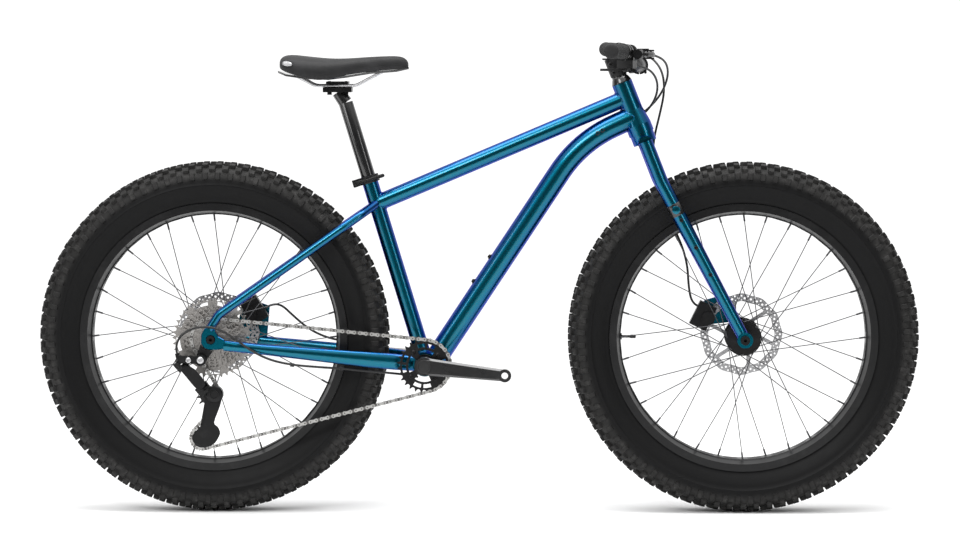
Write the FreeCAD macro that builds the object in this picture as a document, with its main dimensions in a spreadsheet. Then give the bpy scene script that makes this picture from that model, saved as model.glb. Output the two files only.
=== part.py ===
"""Fat tire bike: welded frame, rigid fork, ten-speed drivetrain and disc brakes.

Millimetres. +X is forward, +Z up, the drive side is -Y. The origin lies on the ground
midway between the two axles.
"""
import FreeCAD
import Part
import Sketcher
import math
import os
import re

RIGHT = -1
LEFT = 1

# Driving dimensions, in millimetres and degrees
DIMENSIONS = {
    # Layout of the bike
    "wheelbase": 1150, "chainstay_length": 463, "bottom_bracket_drop": 58, "seat_angle": 73,
    "head_angle": 68.5, "fork_offset": 44, "crown_height": 492, "front_hub_width": 150,
    "rear_hub_width": 197, "chain_line": 77, "fit_clearance": 0.05, "seat_gap": 0.2,
    # Frame tubes
    "tube_wall": 2, "head_tube_length": 118, "head_tube_radius": 22.5, "head_flare_radius": 28,
    "head_flare_height": 20, "head_taper_height": 55, "steerer_play": 10,
    "seat_tube_length": 426, "seat_tube_radius": 17.5, "top_tube_radius": 18, "top_tube_head_drop": 34,
    "top_tube_seat_drop": 63, "down_tube_radius": 24.5, "down_tube_head_rise": 40,
    "down_tube_slope": 24.7, "down_tube_upper_run": 131, "down_tube_bend": 280, "down_tube_foot": 17,
    "shell_radius": 26, "shell_width": 100, "cup_radius": 20.4, "cup_flange": 22.5, "cup_reach": 7,
    "seatstay_radius": 9.3, "dropout_thickness": 7, "dropout_radius": 24, "rear_axle_radius": 6,
    # Headset
    "steerer_radius": 14.3, "crown_race_radius": 19.5, "bearing_height": 7, "cover_height": 12,
    "spacer_height": 5, "spacer_radius": 17, "cap_height": 4,
    # Seat
    "post_radius": 15.8, "post_exposed": 166, "post_insertion": 120, "collar_height": 16,
    "collar_wall": 4.5, "saddle_length": 282, "saddle_width": 146, "saddle_height": 44,
    "saddle_top": 992, "saddle_setback": 433, "rail_radius": 3.5, "rail_spread": 44,
    # Fork
    "leg_radius": 15.5, "leg_tip_radius": 12.5, "leg_spread": 88, "crown_drop": 109, "crown_radius": 17, "crown_gap": 0.3,
    "front_axle_radius": 7.5, "leg_boss_radius": 17,
    # Cockpit
    "stem_length": 48, "stem_drop": 15, "stem_height": 40, "stem_wall": 4, "bar_radius": 11.1, "bar_clamp_radius": 15.9,
    "bar_half_width": 370, "bar_rise": 32, "bar_sweep": 66, "grip_length": 128, "grip_radius": 15.5,
    # Wheels
    "tyre_radius": 381, "tyre_half_width": 56, "tyre_wall": 5, "rim_radius": 291, "rim_inner_radius": 275,
    "rim_bed_radius": 266, "rim_half_width": 40, "rim_wall": 3, "flange_radius": 39, "hub_radius": 17,
    "front_flange_spacing": 33, "rear_flange_spacing": 46, "flange_thickness": 4,
    "cap_radius": 14, "spoke_radius": 1, "spoke_count": 32,
    "rotor_radius": 90, "rotor_thickness": 1.8, "rotor_inset": 14, "rotor_seat_radius": 22, "side_play": 0.3, "bead_seat": 5,
    "bed_edge": 22, "elbow_room": 2, "drilling_offset": 12,
    "caliper_outer_reach": 10, "caliper_inner_reach": 14,
    # Drivetrain
    "chain_pitch": 12.7, "roller_radius": 3.85, "plate_height": 8.4, "plate_thickness": 1,
    "chain_inner_width": 2.6, "sprocket_thickness": 1.8, "sprocket_step": 4, "ring_teeth": 28,
    "cog_teeth": 22, "pulley_teeth": 12, "crank_length": 175, "crank_angle": 6, "spindle_radius": 12,
    "spindle_wall": 3, "crank_thickness": 14, "crank_flare": 12, "pedal_hole_radius": 7.15, "guide_drop": 123,
    "guide_setback": 6, "cage_length": 94, "cage_angle": 10, "cage_half_width": 5, "plate_gauge": 2,
    "barrel_length": 20, "barrel_radius": 15, "link_length": 61, "link_angle": 49, "link_slant": 35,
    "link_spacing": 12, "link_stand_off": 17, "hose_gap": 0.3,
}
SPROCKET_TEETH = (46, 40, 34, 30, 26, 22, 18, 15, 13, 11)

doc = FreeCAD.newDocument("fat_tire_bike")
sheet = doc.addObject("Spreadsheet::Sheet", "Dimensions")
for row, (alias, number) in enumerate(DIMENSIONS.items(), start=1):
    sheet.set("A%d" % row, alias)
    sheet.set("B%d" % row, str(number))
    sheet.setAlias("B%d" % row, alias)
doc.recompute()

NODES = {}


class Sizes:
    """Reads a driving dimension from its sheet cell by name."""

    def __getattr__(self, name):
        return float(getattr(sheet, name))


size = Sizes()


def vec(x, y, z):
    """A point or direction."""
    return FreeCAD.Vector(x, y, z)


def unit(vector):
    """The same direction with length one."""
    return FreeCAD.Vector(vector).normalize()


def tied(expression):
    """An expression whose dimension names point at the sheet."""
    return re.sub(r"[a-z_]+", lambda word: "Dimensions." + word.group(0), expression)


def measured(expression):
    """The present value of an expression of dimension names."""
    return float(sheet.evalExpression(expression))


def aligned(base, axis):
    """The placement that sends the local Z axis along axis, from base."""
    return FreeCAD.Placement(base, FreeCAD.Rotation(vec(0, 0, 1), axis))


def keep(label, shape):
    """Adds a shape made in code as a sub-part."""
    node = doc.addObject("Part::Feature", label)
    node.Shape = shape
    node.Label = label
    NODES[label] = node
    return node


def turned(label, profile, base, axis, export=True):
    """A body turned from a profile of (radius, height) expressions about its own Z axis."""
    body = doc.addObject("PartDesign::Body", label)
    body.Label = label
    sketch = body.newObject("Sketcher::SketchObject", label + "_profile")
    plane = next(item for item in body.Origin.OriginFeatures if item.Role == "XZ_Plane")
    sketch.AttachmentSupport = [(plane, "")]
    sketch.MapMode = "FlatFace"
    corners = [vec(measured(radius), measured(height), 0) for radius, height in profile]
    count = len(corners)
    for index in range(count):
        line = Part.LineSegment(corners[index], corners[(index + 1) % count])
        sketch.addGeometry(line, False)
    for index in range(count):
        sketch.addConstraint(Sketcher.Constraint("Coincident", index, 2, (index + 1) % count, 1))
    for index, (radius, height) in enumerate(profile):
        for kind, expression, value in (("DistanceX", radius, corners[index].x),
                                        ("DistanceY", height, corners[index].y)):
            if expression == "0":
                sketch.addConstraint(Sketcher.Constraint("PointOnObject", index, 1, -1))
                continue
            number = sketch.addConstraint(Sketcher.Constraint(kind, -1, 1, index, 1, value))
            sketch.setExpression("Constraints[%d]" % number, tied(expression))
    turn = body.newObject("PartDesign::Revolution", label + "_turn")
    turn.Profile = sketch
    turn.ReferenceAxis = (sketch, ["V_Axis"])
    turn.Angle = 360
    body.Placement = aligned(base, axis)
    doc.recompute()
    if export:
        NODES[label] = body
    return body


def rod(start, end, radius, end_radius=None):
    """A solid cylinder, or a cone where the end has its own radius."""
    run = end - start
    if end_radius is None or abs(end_radius - radius) < 1e-6:
        return Part.makeCylinder(radius, run.Length, start, run)
    return Part.makeCone(radius, end_radius, run.Length, start, run)


def sleeve(start, end, radius, bore):
    """A cylinder with a through bore."""
    return rod(start, end, radius).cut(rod(start, end, bore))


def block(centre, along, across, length, width, height):
    """A box about its centre, with length on along and width on across."""
    forward = unit(along)
    side = unit(across - forward * across.dot(forward))
    up = forward.cross(side)
    corner = centre - forward * (length / 2) - side * (width / 2) - up * (height / 2)
    frame = FreeCAD.Matrix(forward.x, side.x, up.x, corner.x, forward.y, side.y, up.y, corner.y,
                           forward.z, side.z, up.z, corner.z, 0, 0, 0, 1)
    solid = Part.makeBox(length, width, height)
    solid.Placement = FreeCAD.Placement(frame)
    return solid


def rounded_path(points, bend=None):
    """Straight runs joined by tangent arcs: of one bend radius, or as large as the runs allow."""
    edges = []
    radii = []
    start = points[0]
    for before, corner, after in zip(points, points[1:], points[2:]):
        inward = unit(before - corner)
        outward = unit(after - corner)
        half_turn = (math.pi - inward.getAngle(outward)) / 2
        shorter = min((before - corner).Length, (after - corner).Length)
        radius = bend or 0.45 * shorter / math.tan(half_turn)
        reach = radius * math.tan(half_turn)
        middle = corner + unit(inward + outward) * (radius / math.cos(half_turn) - radius)
        edges.append(Part.LineSegment(start, corner + inward * reach).toShape())
        edges.append(Part.Arc(corner + inward * reach, middle, corner + outward * reach).toShape())
        start = corner + outward * reach
        radii.append(round(radius))
    edges.append(Part.LineSegment(start, points[-1]).toShape())
    return Part.Wire(edges), radii


def pipe(points, radius, bend=None):
    """A round bar swept along a rounded path."""
    path = rounded_path(points, bend)[0]
    section = Part.Wire([Part.Circle(points[0], points[1] - points[0], radius).toShape()])
    return path.makePipeShell([section], True, False)


def oval(centre, across, upward):
    """An ellipse with its long half axis upward and its short half axis across."""
    return Part.Wire([Part.Ellipse(centre + upward, centre + across, centre).toShape()])


def bevelled(centre, across, upward, bevel):
    """A rectangle of the two half axes with its corners taken off."""
    wide = unit(across)
    tall = unit(upward)
    marks = [across + upward - wide * bevel, across + upward - tall * bevel,
             across - upward + tall * bevel, across - upward - wide * bevel,
             -across - upward + wide * bevel, -across - upward + tall * bevel,
             -across + upward - tall * bevel, -across + upward + wide * bevel]
    return Part.makePolygon([centre + mark for mark in marks + marks[:1]])


def mirrored(shape):
    """The same piece on the other side of the bike."""
    return shape.mirror(vec(0, 0, 0), vec(0, 1, 0))


def side_plate(outline, near, far):
    """A plate between two Y values from an outline of (x, z) corners."""
    wire = Part.makePolygon([vec(x, near, z) for x, z in outline + outline[:1]])
    return Part.Face(wire).extrude(vec(0, far - near, 0))


# Layout points and axes
half_base = size.wheelbase / 2
rear_axle = vec(-half_base, 0, size.tyre_radius)
front_axle = vec(half_base, 0, size.tyre_radius)
stay_reach = math.sqrt(size.chainstay_length ** 2 - size.bottom_bracket_drop ** 2)
crank_centre = rear_axle + vec(stay_reach, 0, -size.bottom_bracket_drop)
seat_slope = math.radians(size.seat_angle)
head_slope = math.radians(size.head_angle)
seat_up = vec(-math.cos(seat_slope), 0, math.sin(seat_slope))
head_up = vec(-math.cos(head_slope), 0, math.sin(head_slope))
head_front = vec(math.sin(head_slope), 0, math.cos(head_slope))
steer_base = front_axle - head_front * size.fork_offset
head_bottom = steer_base + head_up * size.crown_height
head_top = head_bottom + head_up * size.head_tube_length
seat_top = crank_centre + seat_up * size.seat_tube_length
AXLE_LINE = vec(0, 1, 0)


# Frame: head tube, bottom bracket shell and the mitred main tubes
turned("head_tube", [
    ("head_flare_radius", "0"), ("head_flare_radius", "head_flare_height"),
    ("head_tube_radius", "head_taper_height"), ("head_tube_radius", "head_tube_length"),
    ("head_tube_radius - tube_wall", "head_tube_length"),
    ("head_tube_radius - tube_wall", "head_tube_length - bearing_height"),
    ("steerer_radius + tube_wall", "head_tube_length - bearing_height"),
    ("steerer_radius + tube_wall", "head_taper_height + steerer_play"),
    ("crown_race_radius + tube_wall", "head_flare_height + steerer_play"),
    ("crown_race_radius + tube_wall", "bearing_height"),
    ("head_flare_radius - tube_wall", "bearing_height"), ("head_flare_radius - tube_wall", "0"),
], head_bottom, head_up)

turned("bottom_bracket_shell", [
    ("cup_radius + fit_clearance", "0"), ("shell_radius", "0"), ("shell_radius", "shell_width"),
    ("cup_radius + fit_clearance", "shell_width"),
], crank_centre - AXLE_LINE * (size.shell_width / 2), AXLE_LINE)

head_form = NODES["head_tube"].Shape.fuse(rod(head_bottom, head_top, size.head_tube_radius - size.tube_wall / 2))
shell_form = rod(crank_centre - AXLE_LINE * size.shell_width, crank_centre + AXLE_LINE * size.shell_width,
                 size.shell_radius)
seat_form = rod(crank_centre, seat_top, size.seat_tube_radius)

top_seat_point = seat_top - seat_up * size.top_tube_seat_drop
top_head_point = head_top - head_up * size.top_tube_head_drop
top_form = rod(top_seat_point, top_head_point, size.top_tube_radius)
top_bore = rod(top_seat_point, top_head_point, size.top_tube_radius - size.tube_wall)
keep("top_tube", top_form.cut(top_bore).cut(seat_form).cut(head_form))

down_slope = math.radians(size.down_tube_slope)
down_head_point = head_bottom + head_up * size.down_tube_head_rise
down_corner = down_head_point - vec(math.cos(down_slope), 0, math.sin(down_slope)) * size.down_tube_upper_run
down_route = [crank_centre + vec(size.down_tube_foot, 0, 0), down_corner, down_head_point]
down_form = pipe(down_route, size.down_tube_radius, size.down_tube_bend)
down_bore = pipe(down_route, size.down_tube_radius - size.tube_wall, size.down_tube_bend)
down_tube = down_form.cut(down_bore).cut(shell_form).cut(head_form).cut(top_form).cut(seat_form)
keep("down_tube", down_tube)

post_bore = size.post_radius + size.fit_clearance
keep("seat_tube", sleeve(crank_centre, seat_top, size.seat_tube_radius, post_bore).cut(shell_form))


def largest(shape):
    """The largest solid of a shape, without the offcuts of a mitre."""
    return max(shape.Solids, key=lambda solid: solid.Volume)


for tube_name in ("top_tube", "down_tube", "seat_tube"):
    NODES[tube_name].Shape = largest(NODES[tube_name].Shape)


# Frame: chainstays with their dropouts, and seatstays
rear_face = size.rear_hub_width / 2
STAY_STATIONS = ((0.03, 38, 13, 17), (0.14, 57, 9, 17.5), (0.27, 71.5, 9, 17), (0.40, 80, 9, 15.5),
                 (0.75, 95, 9, 11.5), (0.84, 98.5, 8.5, 11.5), (0.94, 102, 4, 11))
STAY_LIFT = 48


def stay_section(station, shrink):
    """The upright oval of a right chainstay at one station, its half sizes less a wall."""
    share, offset, half_width, half_height = station
    centre = crank_centre + vec(-share * stay_reach, -offset, share * STAY_LIFT)
    return oval(centre, vec(0, half_width - shrink, 0), vec(0, 0, half_height - shrink))


def right_chainstay():
    """A hollow oval stay with the round dropout at its rear end."""
    outer = Part.makeLoft([stay_section(item, 0) for item in STAY_STATIONS], True, True)
    inner = Part.makeLoft([stay_section(item, size.tube_wall) for item in STAY_STATIONS[:-1]], True, True)
    near = rear_axle - AXLE_LINE * rear_face
    far = near - AXLE_LINE * size.dropout_thickness
    stay = outer.cut(inner).fuse(rod(near, far, size.dropout_radius))
    hub_space = rod(rear_axle, near, size.dropout_radius + size.tube_wall)
    axle_space = rod(rear_axle, far, size.rear_axle_radius + size.fit_clearance)
    return largest(stay.cut(shell_form).cut(hub_space).cut(axle_space))


caliper_plate_face = rear_face - size.rotor_inset + size.caliper_outer_reach + size.seat_gap
brake_plate = side_plate([(rear_axle.x + dx, rear_axle.z + dz) for dx, dz in
                          ((35, -12), (105, -20), (112, 58), (75, 71), (46, 40))],
                         caliper_plate_face, caliper_plate_face + size.dropout_thickness - size.tube_wall)
right_stay = right_chainstay()
left_stay = mirrored(right_stay).fuse(brake_plate)
keep("chainstays", Part.makeCompound([right_stay, largest(left_stay)]))

STAY_SLOPE = math.radians(35)
stay_line = vec(-math.cos(STAY_SLOPE), 0, -math.sin(STAY_SLOPE))
dropout_middle = rear_face + size.dropout_thickness / 2
stay_route = [top_seat_point + stay_line * along - AXLE_LINE * offset
              for along, offset in ((0, 10), (40, 56), (85, 74), (410, dropout_middle - 2))]
stay_route.append(rear_axle - AXLE_LINE * dropout_middle + vec(-3, 0, size.dropout_radius - size.tube_wall))
seatstay = pipe(stay_route, size.seatstay_radius, 40).cut(pipe(stay_route, size.seatstay_radius - size.tube_wall, 40))
rear_clearance = rod(rear_axle, rear_axle - AXLE_LINE * rear_face, 2 * size.dropout_radius)
seatstay = seatstay.cut(seat_form).cut(top_form).cut(rear_clearance)
right_seatstay = largest(seatstay.cut(right_stay))
left_seatstay = largest(mirrored(seatstay).cut(left_stay))
keep("seatstays", Part.makeCompound([right_seatstay, left_seatstay]))


# Headset bearings and bottom bracket cups
upper_bearing = sleeve(head_top - head_up * (size.bearing_height - size.seat_gap), head_top,
                       size.head_tube_radius - size.tube_wall - size.fit_clearance,
                       size.steerer_radius + size.fit_clearance)
lower_bearing = sleeve(head_bottom, head_bottom + head_up * (size.bearing_height - size.seat_gap),
                       size.head_flare_radius - size.tube_wall - size.fit_clearance,
                       size.crown_race_radius + size.fit_clearance)
keep("headset_bearings", Part.makeCompound([upper_bearing, lower_bearing]))


def right_cup():
    """A threaded cup with its flange outside the shell and its bore for the spindle."""
    face = crank_centre - AXLE_LINE * (size.shell_width / 2)
    barrel = rod(face + AXLE_LINE * size.cup_reach * 2, face, size.cup_radius)
    flange = rod(face, face - AXLE_LINE * size.cup_reach, size.cup_flange)
    bore = rod(crank_centre, face - AXLE_LINE * size.cup_reach * 2, size.spindle_radius + size.fit_clearance)
    return barrel.fuse(flange).cut(bore)


keep("bottom_bracket_cups", Part.makeCompound([right_cup(), mirrored(right_cup())]))


# Seat clamp, its lever, the seatpost and the saddle
seat_back = vec(-math.sin(seat_slope), 0, -math.cos(seat_slope))
collar_radius = size.seat_tube_radius + size.collar_wall
collar_middle = seat_top - seat_up * (size.collar_height / 2)
lever_pivot = collar_middle + seat_back * (collar_radius + 8) - AXLE_LINE * 17
LEVER_HUB = 6.5


def seat_clamp():
    """A collar with a rear ear and the clevis and pin that carry the lever."""
    collar = sleeve(seat_top - seat_up * size.collar_height, seat_top, collar_radius,
                    size.seat_tube_radius + size.fit_clearance)
    ear = block(collar_middle + seat_back * (collar_radius + 6), seat_back, AXLE_LINE, 18, 18, size.collar_height)
    clamp = collar.fuse(ear)
    for end in (-1, 1):
        clevis_middle = lever_pivot + AXLE_LINE * 5 + seat_up * (end * (size.collar_height / 2 - 1.5))
        clamp = clamp.fuse(block(clevis_middle, seat_back, AXLE_LINE, 8, 18, 3))
    pin_half = seat_up * (size.collar_height / 2)
    clamp = clamp.fuse(rod(lever_pivot - pin_half, lever_pivot + pin_half, 2.5))
    return clamp.cut(rod(collar_middle - seat_up * 30, collar_middle + seat_up * 30, size.seat_tube_radius))


def seat_lever():
    """The cam hub and the curved lever that lies along the right of the collar."""
    hub_half = seat_up * (size.collar_height / 2 - 3 - size.seat_gap)
    hub = rod(lever_pivot - hub_half, lever_pivot + hub_half, LEVER_HUB)
    route = [lever_pivot, lever_pivot - seat_back * 22 - AXLE_LINE * 11, lever_pivot - seat_back * 62 - AXLE_LINE * 9]
    bar = pipe(route, 4, 40).fuse(Part.makeSphere(4, route[-1]))
    pin_space = rod(lever_pivot - seat_up * 20, lever_pivot + seat_up * 20, 2.5 + size.fit_clearance)
    return hub.fuse(bar).cut(pin_space)


keep("seat_clamp", seat_clamp())
keep("seat_clamp_lever", seat_lever())

post_top = seat_top + seat_up * size.post_exposed
post_foot = seat_top - seat_up * size.post_insertion
cradle_middle = post_top + vec(-17, 0, 28)
rail_height = cradle_middle.z + 9
CRADLE_LENGTH = 62
CRADLE_WIDTH = 56
post_shell = sleeve(post_foot, post_top, size.post_radius, size.post_radius - size.tube_wall - 0.8)
post_head = rod(post_top, cradle_middle - vec(0, 0, 5), size.post_radius, size.post_radius - 2)
keep("seatpost", post_shell.fuse(post_head))

cradle = block(cradle_middle, vec(1, 0, 0), AXLE_LINE, CRADLE_LENGTH, CRADLE_WIDTH, 10)
cradle = cradle.cut(post_head)
top_plate = block(vec(cradle_middle.x, 0, rail_height + size.rail_radius + 3), vec(1, 0, 0), AXLE_LINE,
                  CRADLE_LENGTH - 14, CRADLE_WIDTH, 5)
bolts = []
for end in (-1, 1):
    foot = cradle_middle + vec(end * 18, 0, -11)
    bolt = rod(foot, foot + vec(0, 0, 6), 5).fuse(rod(foot, vec(foot.x, 0, rail_height + 10), 3))
    bolts.append(bolt)
    hole = rod(foot, foot + vec(0, 0, 40), 3 + size.fit_clearance)
    cradle = cradle.cut(hole).cut(rod(foot, foot + vec(0, 0, 6), 5 + size.fit_clearance))
    top_plate = top_plate.cut(hole)
bolts = [bolt.cut(post_head) for bolt in bolts]
SADDLE_STATIONS = ((0, 0.71, -6, 27), (18, 0.93, 2, 42), (60, 1, 2, 48), (110, 0.85, -3, 45), (150, 0.58, -6, 37),
                   (200, 0.37, -6, 29), (255, 0.3, -3, 28), (282, 0.2, -5, 20))
CHANNEL_DEPTH = 3


def saddle_outline(station):
    """One cross-section of the padded cover: flat below, drawn-in sides, a crown with a channel."""
    along, share, rise, depth = station
    x = -size.saddle_setback + along * size.saddle_length / 282
    half = size.saddle_width / 2 * share
    top = size.saddle_top + rise
    bottom = top - depth * size.saddle_height / 44
    side = (top + bottom) / 2

    def spot(y, z):
        return vec(x, y, z)

    marks = [(spot(-half * 0.86, bottom), spot(-half, side), spot(-half * 0.8, top - 5)),
             (spot(-half * 0.8, top - 5), spot(-half * 0.45, top), spot(0, top - CHANNEL_DEPTH)),
             (spot(0, top - CHANNEL_DEPTH), spot(half * 0.45, top), spot(half * 0.8, top - 5)),
             (spot(half * 0.8, top - 5), spot(half, side), spot(half * 0.86, bottom))]
    edges = [Part.Arc(*mark).toShape() for mark in marks]
    edges.append(Part.LineSegment(marks[-1][2], marks[0][0]).toShape())
    return Part.Wire(edges), half, bottom, x


def base_outline(station):
    """The matching cross-section of the moulded base under the cover."""
    wire, half, bottom, x = saddle_outline(station)
    half = half * 0.82
    top = bottom - size.seat_gap
    low = top - 5
    return Part.makePolygon([vec(x, -half, top), vec(x, half, top), vec(x, half * 0.9, low),
                             vec(x, -half * 0.9, low), vec(x, -half, top)])


keep("saddle_cover", Part.makeLoft([saddle_outline(item)[0] for item in SADDLE_STATIONS], True, True))
saddle_base = Part.makeLoft([base_outline(item) for item in SADDLE_STATIONS], True, True)
keep("saddle_base", saddle_base)

rail_rear = -size.saddle_setback + 38
rail_front = -size.saddle_setback + 232
half_spread = size.rail_spread / 2
rail_route = [vec(rail_rear, -half_spread - 8, rail_height + 22), vec(cradle_middle.x - 48, -half_spread, rail_height),
              vec(cradle_middle.x + 40, -half_spread, rail_height), vec(rail_front, -half_spread / 2, rail_height + 34)]
rail = pipe(rail_route, size.rail_radius, 30).cut(saddle_base)
rail = largest(rail)
keep("saddle_rails", Part.makeCompound([rail, mirrored(rail)]))
rail_space = pipe(rail_route, size.rail_radius + size.fit_clearance, 30)
cradle = cradle.cut(rail_space).cut(mirrored(rail_space))
keep("saddle_clamp", Part.makeCompound([cradle, top_plate] + bolts))


# Fork: crown with steerer, two legs, thru-axle
RACE_HEIGHT = 6
crown_top = head_bottom - head_up * size.crown_gap
crown_centre = crown_top - head_up * (RACE_HEIGHT + size.crown_radius - 2)
cover_base = head_top + head_up * size.crown_gap
stem_foot = cover_base + head_up * (size.cover_height + size.spacer_height)
stem_head = stem_foot + head_up * size.stem_height
front_face = size.front_hub_width / 2


def leg_route():
    """The line of a right fork leg through its bend to the axle."""
    shift = -AXLE_LINE * size.leg_spread
    bend_point = steer_base + head_up * (size.crown_height - size.crown_drop) + shift
    tip = front_axle + shift
    middle = bend_point + (tip - bend_point) * 0.25
    return [crown_centre + head_up * 6 + shift, bend_point, middle], tip


def leg_form(shrink):
    """A leg: a bent upper tube that tapers to its tip, its radii less a wall."""
    route, tip = leg_route()
    upper = pipe(route, size.leg_radius - shrink, 120)
    return upper.fuse(rod(route[-1], tip, size.leg_radius - shrink, size.leg_tip_radius - shrink))


boss_face = size.leg_spread + size.leg_tip_radius + 1
leg_boss = rod(front_axle - AXLE_LINE * front_face, front_axle - AXLE_LINE * boss_face, size.leg_boss_radius)
axle_bore = rod(front_axle + AXLE_LINE * boss_face, front_axle - AXLE_LINE * boss_face,
                size.front_axle_radius + size.fit_clearance)
leg_outer = leg_form(0)
hub_space = rod(front_axle, front_axle - AXLE_LINE * front_face, size.leg_boss_radius + 4)
right_leg = leg_outer.cut(leg_form(size.tube_wall + 0.5)).fuse(leg_boss).cut(axle_bore).cut(hub_space)
front_rotor_y = front_face - size.rotor_inset
lug_face = front_rotor_y + size.caliper_outer_reach + size.seat_gap
caliper_lug = side_plate([(front_axle.x + dx, front_axle.z + dz) for dx, dz in
                          ((-14, 27), (-45, 84), (-80, 74), (-102, 42), (-72, 20))], lug_face, lug_face + 9)
keep("fork_leg_right", largest(right_leg))
keep("fork_leg_left", largest(mirrored(right_leg).fuse(caliper_lug).cut(axle_bore)))

crown_bar = rod(crown_centre - AXLE_LINE * size.leg_spread, crown_centre + AXLE_LINE * size.leg_spread,
                size.crown_radius)
crown_bar = largest(crown_bar.cut(leg_outer).cut(mirrored(leg_outer)))
race = rod(crown_centre, crown_top, size.head_flare_radius - size.tube_wall)
taper_foot = head_bottom + head_up * size.head_flare_height
taper_head = head_bottom + head_up * size.head_taper_height
steerer = rod(crown_centre, taper_foot, size.crown_race_radius)
steerer = steerer.fuse(rod(taper_foot, taper_head, size.crown_race_radius, size.steerer_radius))
steerer = steerer.fuse(rod(taper_head, stem_head - head_up * 2, size.steerer_radius))
steerer_bore = rod(crown_centre, stem_head, size.steerer_radius - size.tube_wall)
keep("fork_crown", crown_bar.fuse(race).fuse(steerer).cut(steerer_bore))

axle_head = rod(front_axle - AXLE_LINE * (boss_face + size.seat_gap), front_axle - AXLE_LINE * (boss_face + 5), 10)
axle_shaft = rod(front_axle - AXLE_LINE * (boss_face + 5), front_axle + AXLE_LINE * boss_face, size.front_axle_radius)
axle_socket = rod(front_axle - AXLE_LINE * (boss_face + 5), front_axle - AXLE_LINE * (boss_face - 6), 3.5)
keep("front_axle", axle_head.fuse(axle_shaft).cut(axle_socket))

rear_end = rear_face + size.dropout_thickness
rear_head = rod(rear_axle - AXLE_LINE * (rear_end + size.seat_gap), rear_axle - AXLE_LINE * (rear_end + 4), 9)
rear_shaft = rod(rear_axle - AXLE_LINE * (rear_end + 4), rear_axle + AXLE_LINE * rear_end, size.rear_axle_radius)
rear_socket = rod(rear_axle - AXLE_LINE * (rear_end + 4), rear_axle - AXLE_LINE * (rear_end - 6), 3.5)
keep("rear_axle", rear_head.fuse(rear_shaft).cut(rear_socket))


def caliper(axle, rotor_y, angle):
    """A caliper block over the rotor's edge, with its slot and a piston housing on each side."""
    toward = vec(math.cos(math.radians(angle)), 0, math.sin(math.radians(angle)))
    inner = rotor_y - size.caliper_inner_reach
    outer = rotor_y + size.caliper_outer_reach
    middle = axle + toward * (size.rotor_radius + 4) + AXLE_LINE * ((inner + outer) / 2)
    body = block(middle, toward, AXLE_LINE, 40, outer - inner, 56)
    piston = axle + toward * (size.rotor_radius - 8)
    body = body.fuse(rod(piston + AXLE_LINE * (inner - 4), piston + AXLE_LINE * outer, 15))
    slot_half = size.rotor_thickness / 2 + 1
    slot = rod(axle + AXLE_LINE * (rotor_y - slot_half), axle + AXLE_LINE * (rotor_y + slot_half),
               size.rotor_radius + 2)
    return body.cut(slot)


rear_rotor_y = rear_face - size.rotor_inset
FRONT_CALIPER_ANGLE = 154
REAR_CALIPER_ANGLE = 32
keep("front_brake_caliper", caliper(front_axle, front_rotor_y, FRONT_CALIPER_ANGLE))
keep("rear_brake_caliper", caliper(rear_axle, rear_rotor_y, REAR_CALIPER_ANGLE))


# Headset cover, spacer and top cap; stem, faceplate and handlebar
cover_top = cover_base + head_up * size.cover_height
steerer_space = rod(cover_base - head_up * 10, stem_head + head_up * 20, size.steerer_radius + size.fit_clearance)
cover = rod(cover_base, cover_top, size.head_tube_radius + 0.5, size.spacer_radius + 1).cut(steerer_space)
spacer = rod(cover_top, stem_foot, size.spacer_radius).cut(steerer_space)
top_cap = rod(stem_head, stem_head + head_up * size.cap_height, size.spacer_radius)
keep("headset_cover", Part.makeCompound([cover, spacer, top_cap]))

stem_middle = (stem_foot + stem_head) * 0.5
bar_centre = stem_middle + head_front * size.stem_length - head_up * size.stem_drop
stem_line = unit(bar_centre - stem_middle)
clamp_radius = size.bar_clamp_radius + size.stem_wall
CLAMP_HALF = 26
SPLIT_GAP = 1
bar_clamp = rod(bar_centre - AXLE_LINE * CLAMP_HALF, bar_centre + AXLE_LINE * CLAMP_HALF, clamp_radius)
bar_space = rod(bar_centre - AXLE_LINE * CLAMP_HALF, bar_centre + AXLE_LINE * CLAMP_HALF,
                size.bar_clamp_radius + size.fit_clearance)
front_half = block(bar_centre + stem_line * (50 - SPLIT_GAP), stem_line, AXLE_LINE, 100, 100, 100)
rear_half = block(bar_centre - stem_line * (50 - SPLIT_GAP), stem_line, AXLE_LINE, 100, 100, 100)
stem = rod(stem_foot, stem_head, size.steerer_radius + size.stem_wall)
stem = stem.fuse(rod(stem_middle, bar_centre, clamp_radius - 3)).fuse(bar_clamp)
stack_space = rod(cover_base, stem_foot, size.head_tube_radius + 1)
keep("stem", largest(stem.cut(front_half).cut(bar_space).cut(steerer_space).cut(stack_space)))
keep("stem_faceplate", bar_clamp.cut(rear_half).cut(bar_space))

bar_bend_in = bar_centre - AXLE_LINE * 82
bar_bend_out = bar_centre + vec(-16, -150, size.bar_rise - 2)
bar_end = bar_centre + vec(-size.bar_sweep, -size.bar_half_width, size.bar_rise)
bar_route = [bar_centre - AXLE_LINE * 45, bar_bend_in, bar_bend_out, bar_end]
BAR_BEND = 90


def right_half_bar():
    """Half the bar: the thick clamp zone, its taper and the bent outer tube."""
    zone_end = bar_centre - AXLE_LINE * 30
    taper_end = bar_centre - AXLE_LINE * 56
    half = rod(bar_centre, zone_end, size.bar_clamp_radius)
    half = half.fuse(rod(zone_end, taper_end, size.bar_clamp_radius, size.bar_radius))
    half = half.fuse(pipe(bar_route, size.bar_radius, BAR_BEND))
    bore = rod(bar_centre, bar_route[0], size.bar_radius - size.tube_wall)
    return half.cut(bore).cut(pipe(bar_route, size.bar_radius - size.tube_wall, BAR_BEND))


half_bar = right_half_bar()
keep("handlebar", half_bar.fuse(mirrored(half_bar)))

bar_inward = unit(bar_bend_out - bar_end)
bar_ahead = unit(vec(1, 0, 0) - bar_inward * bar_inward.x)
bar_upward = bar_ahead.cross(bar_inward)


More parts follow.
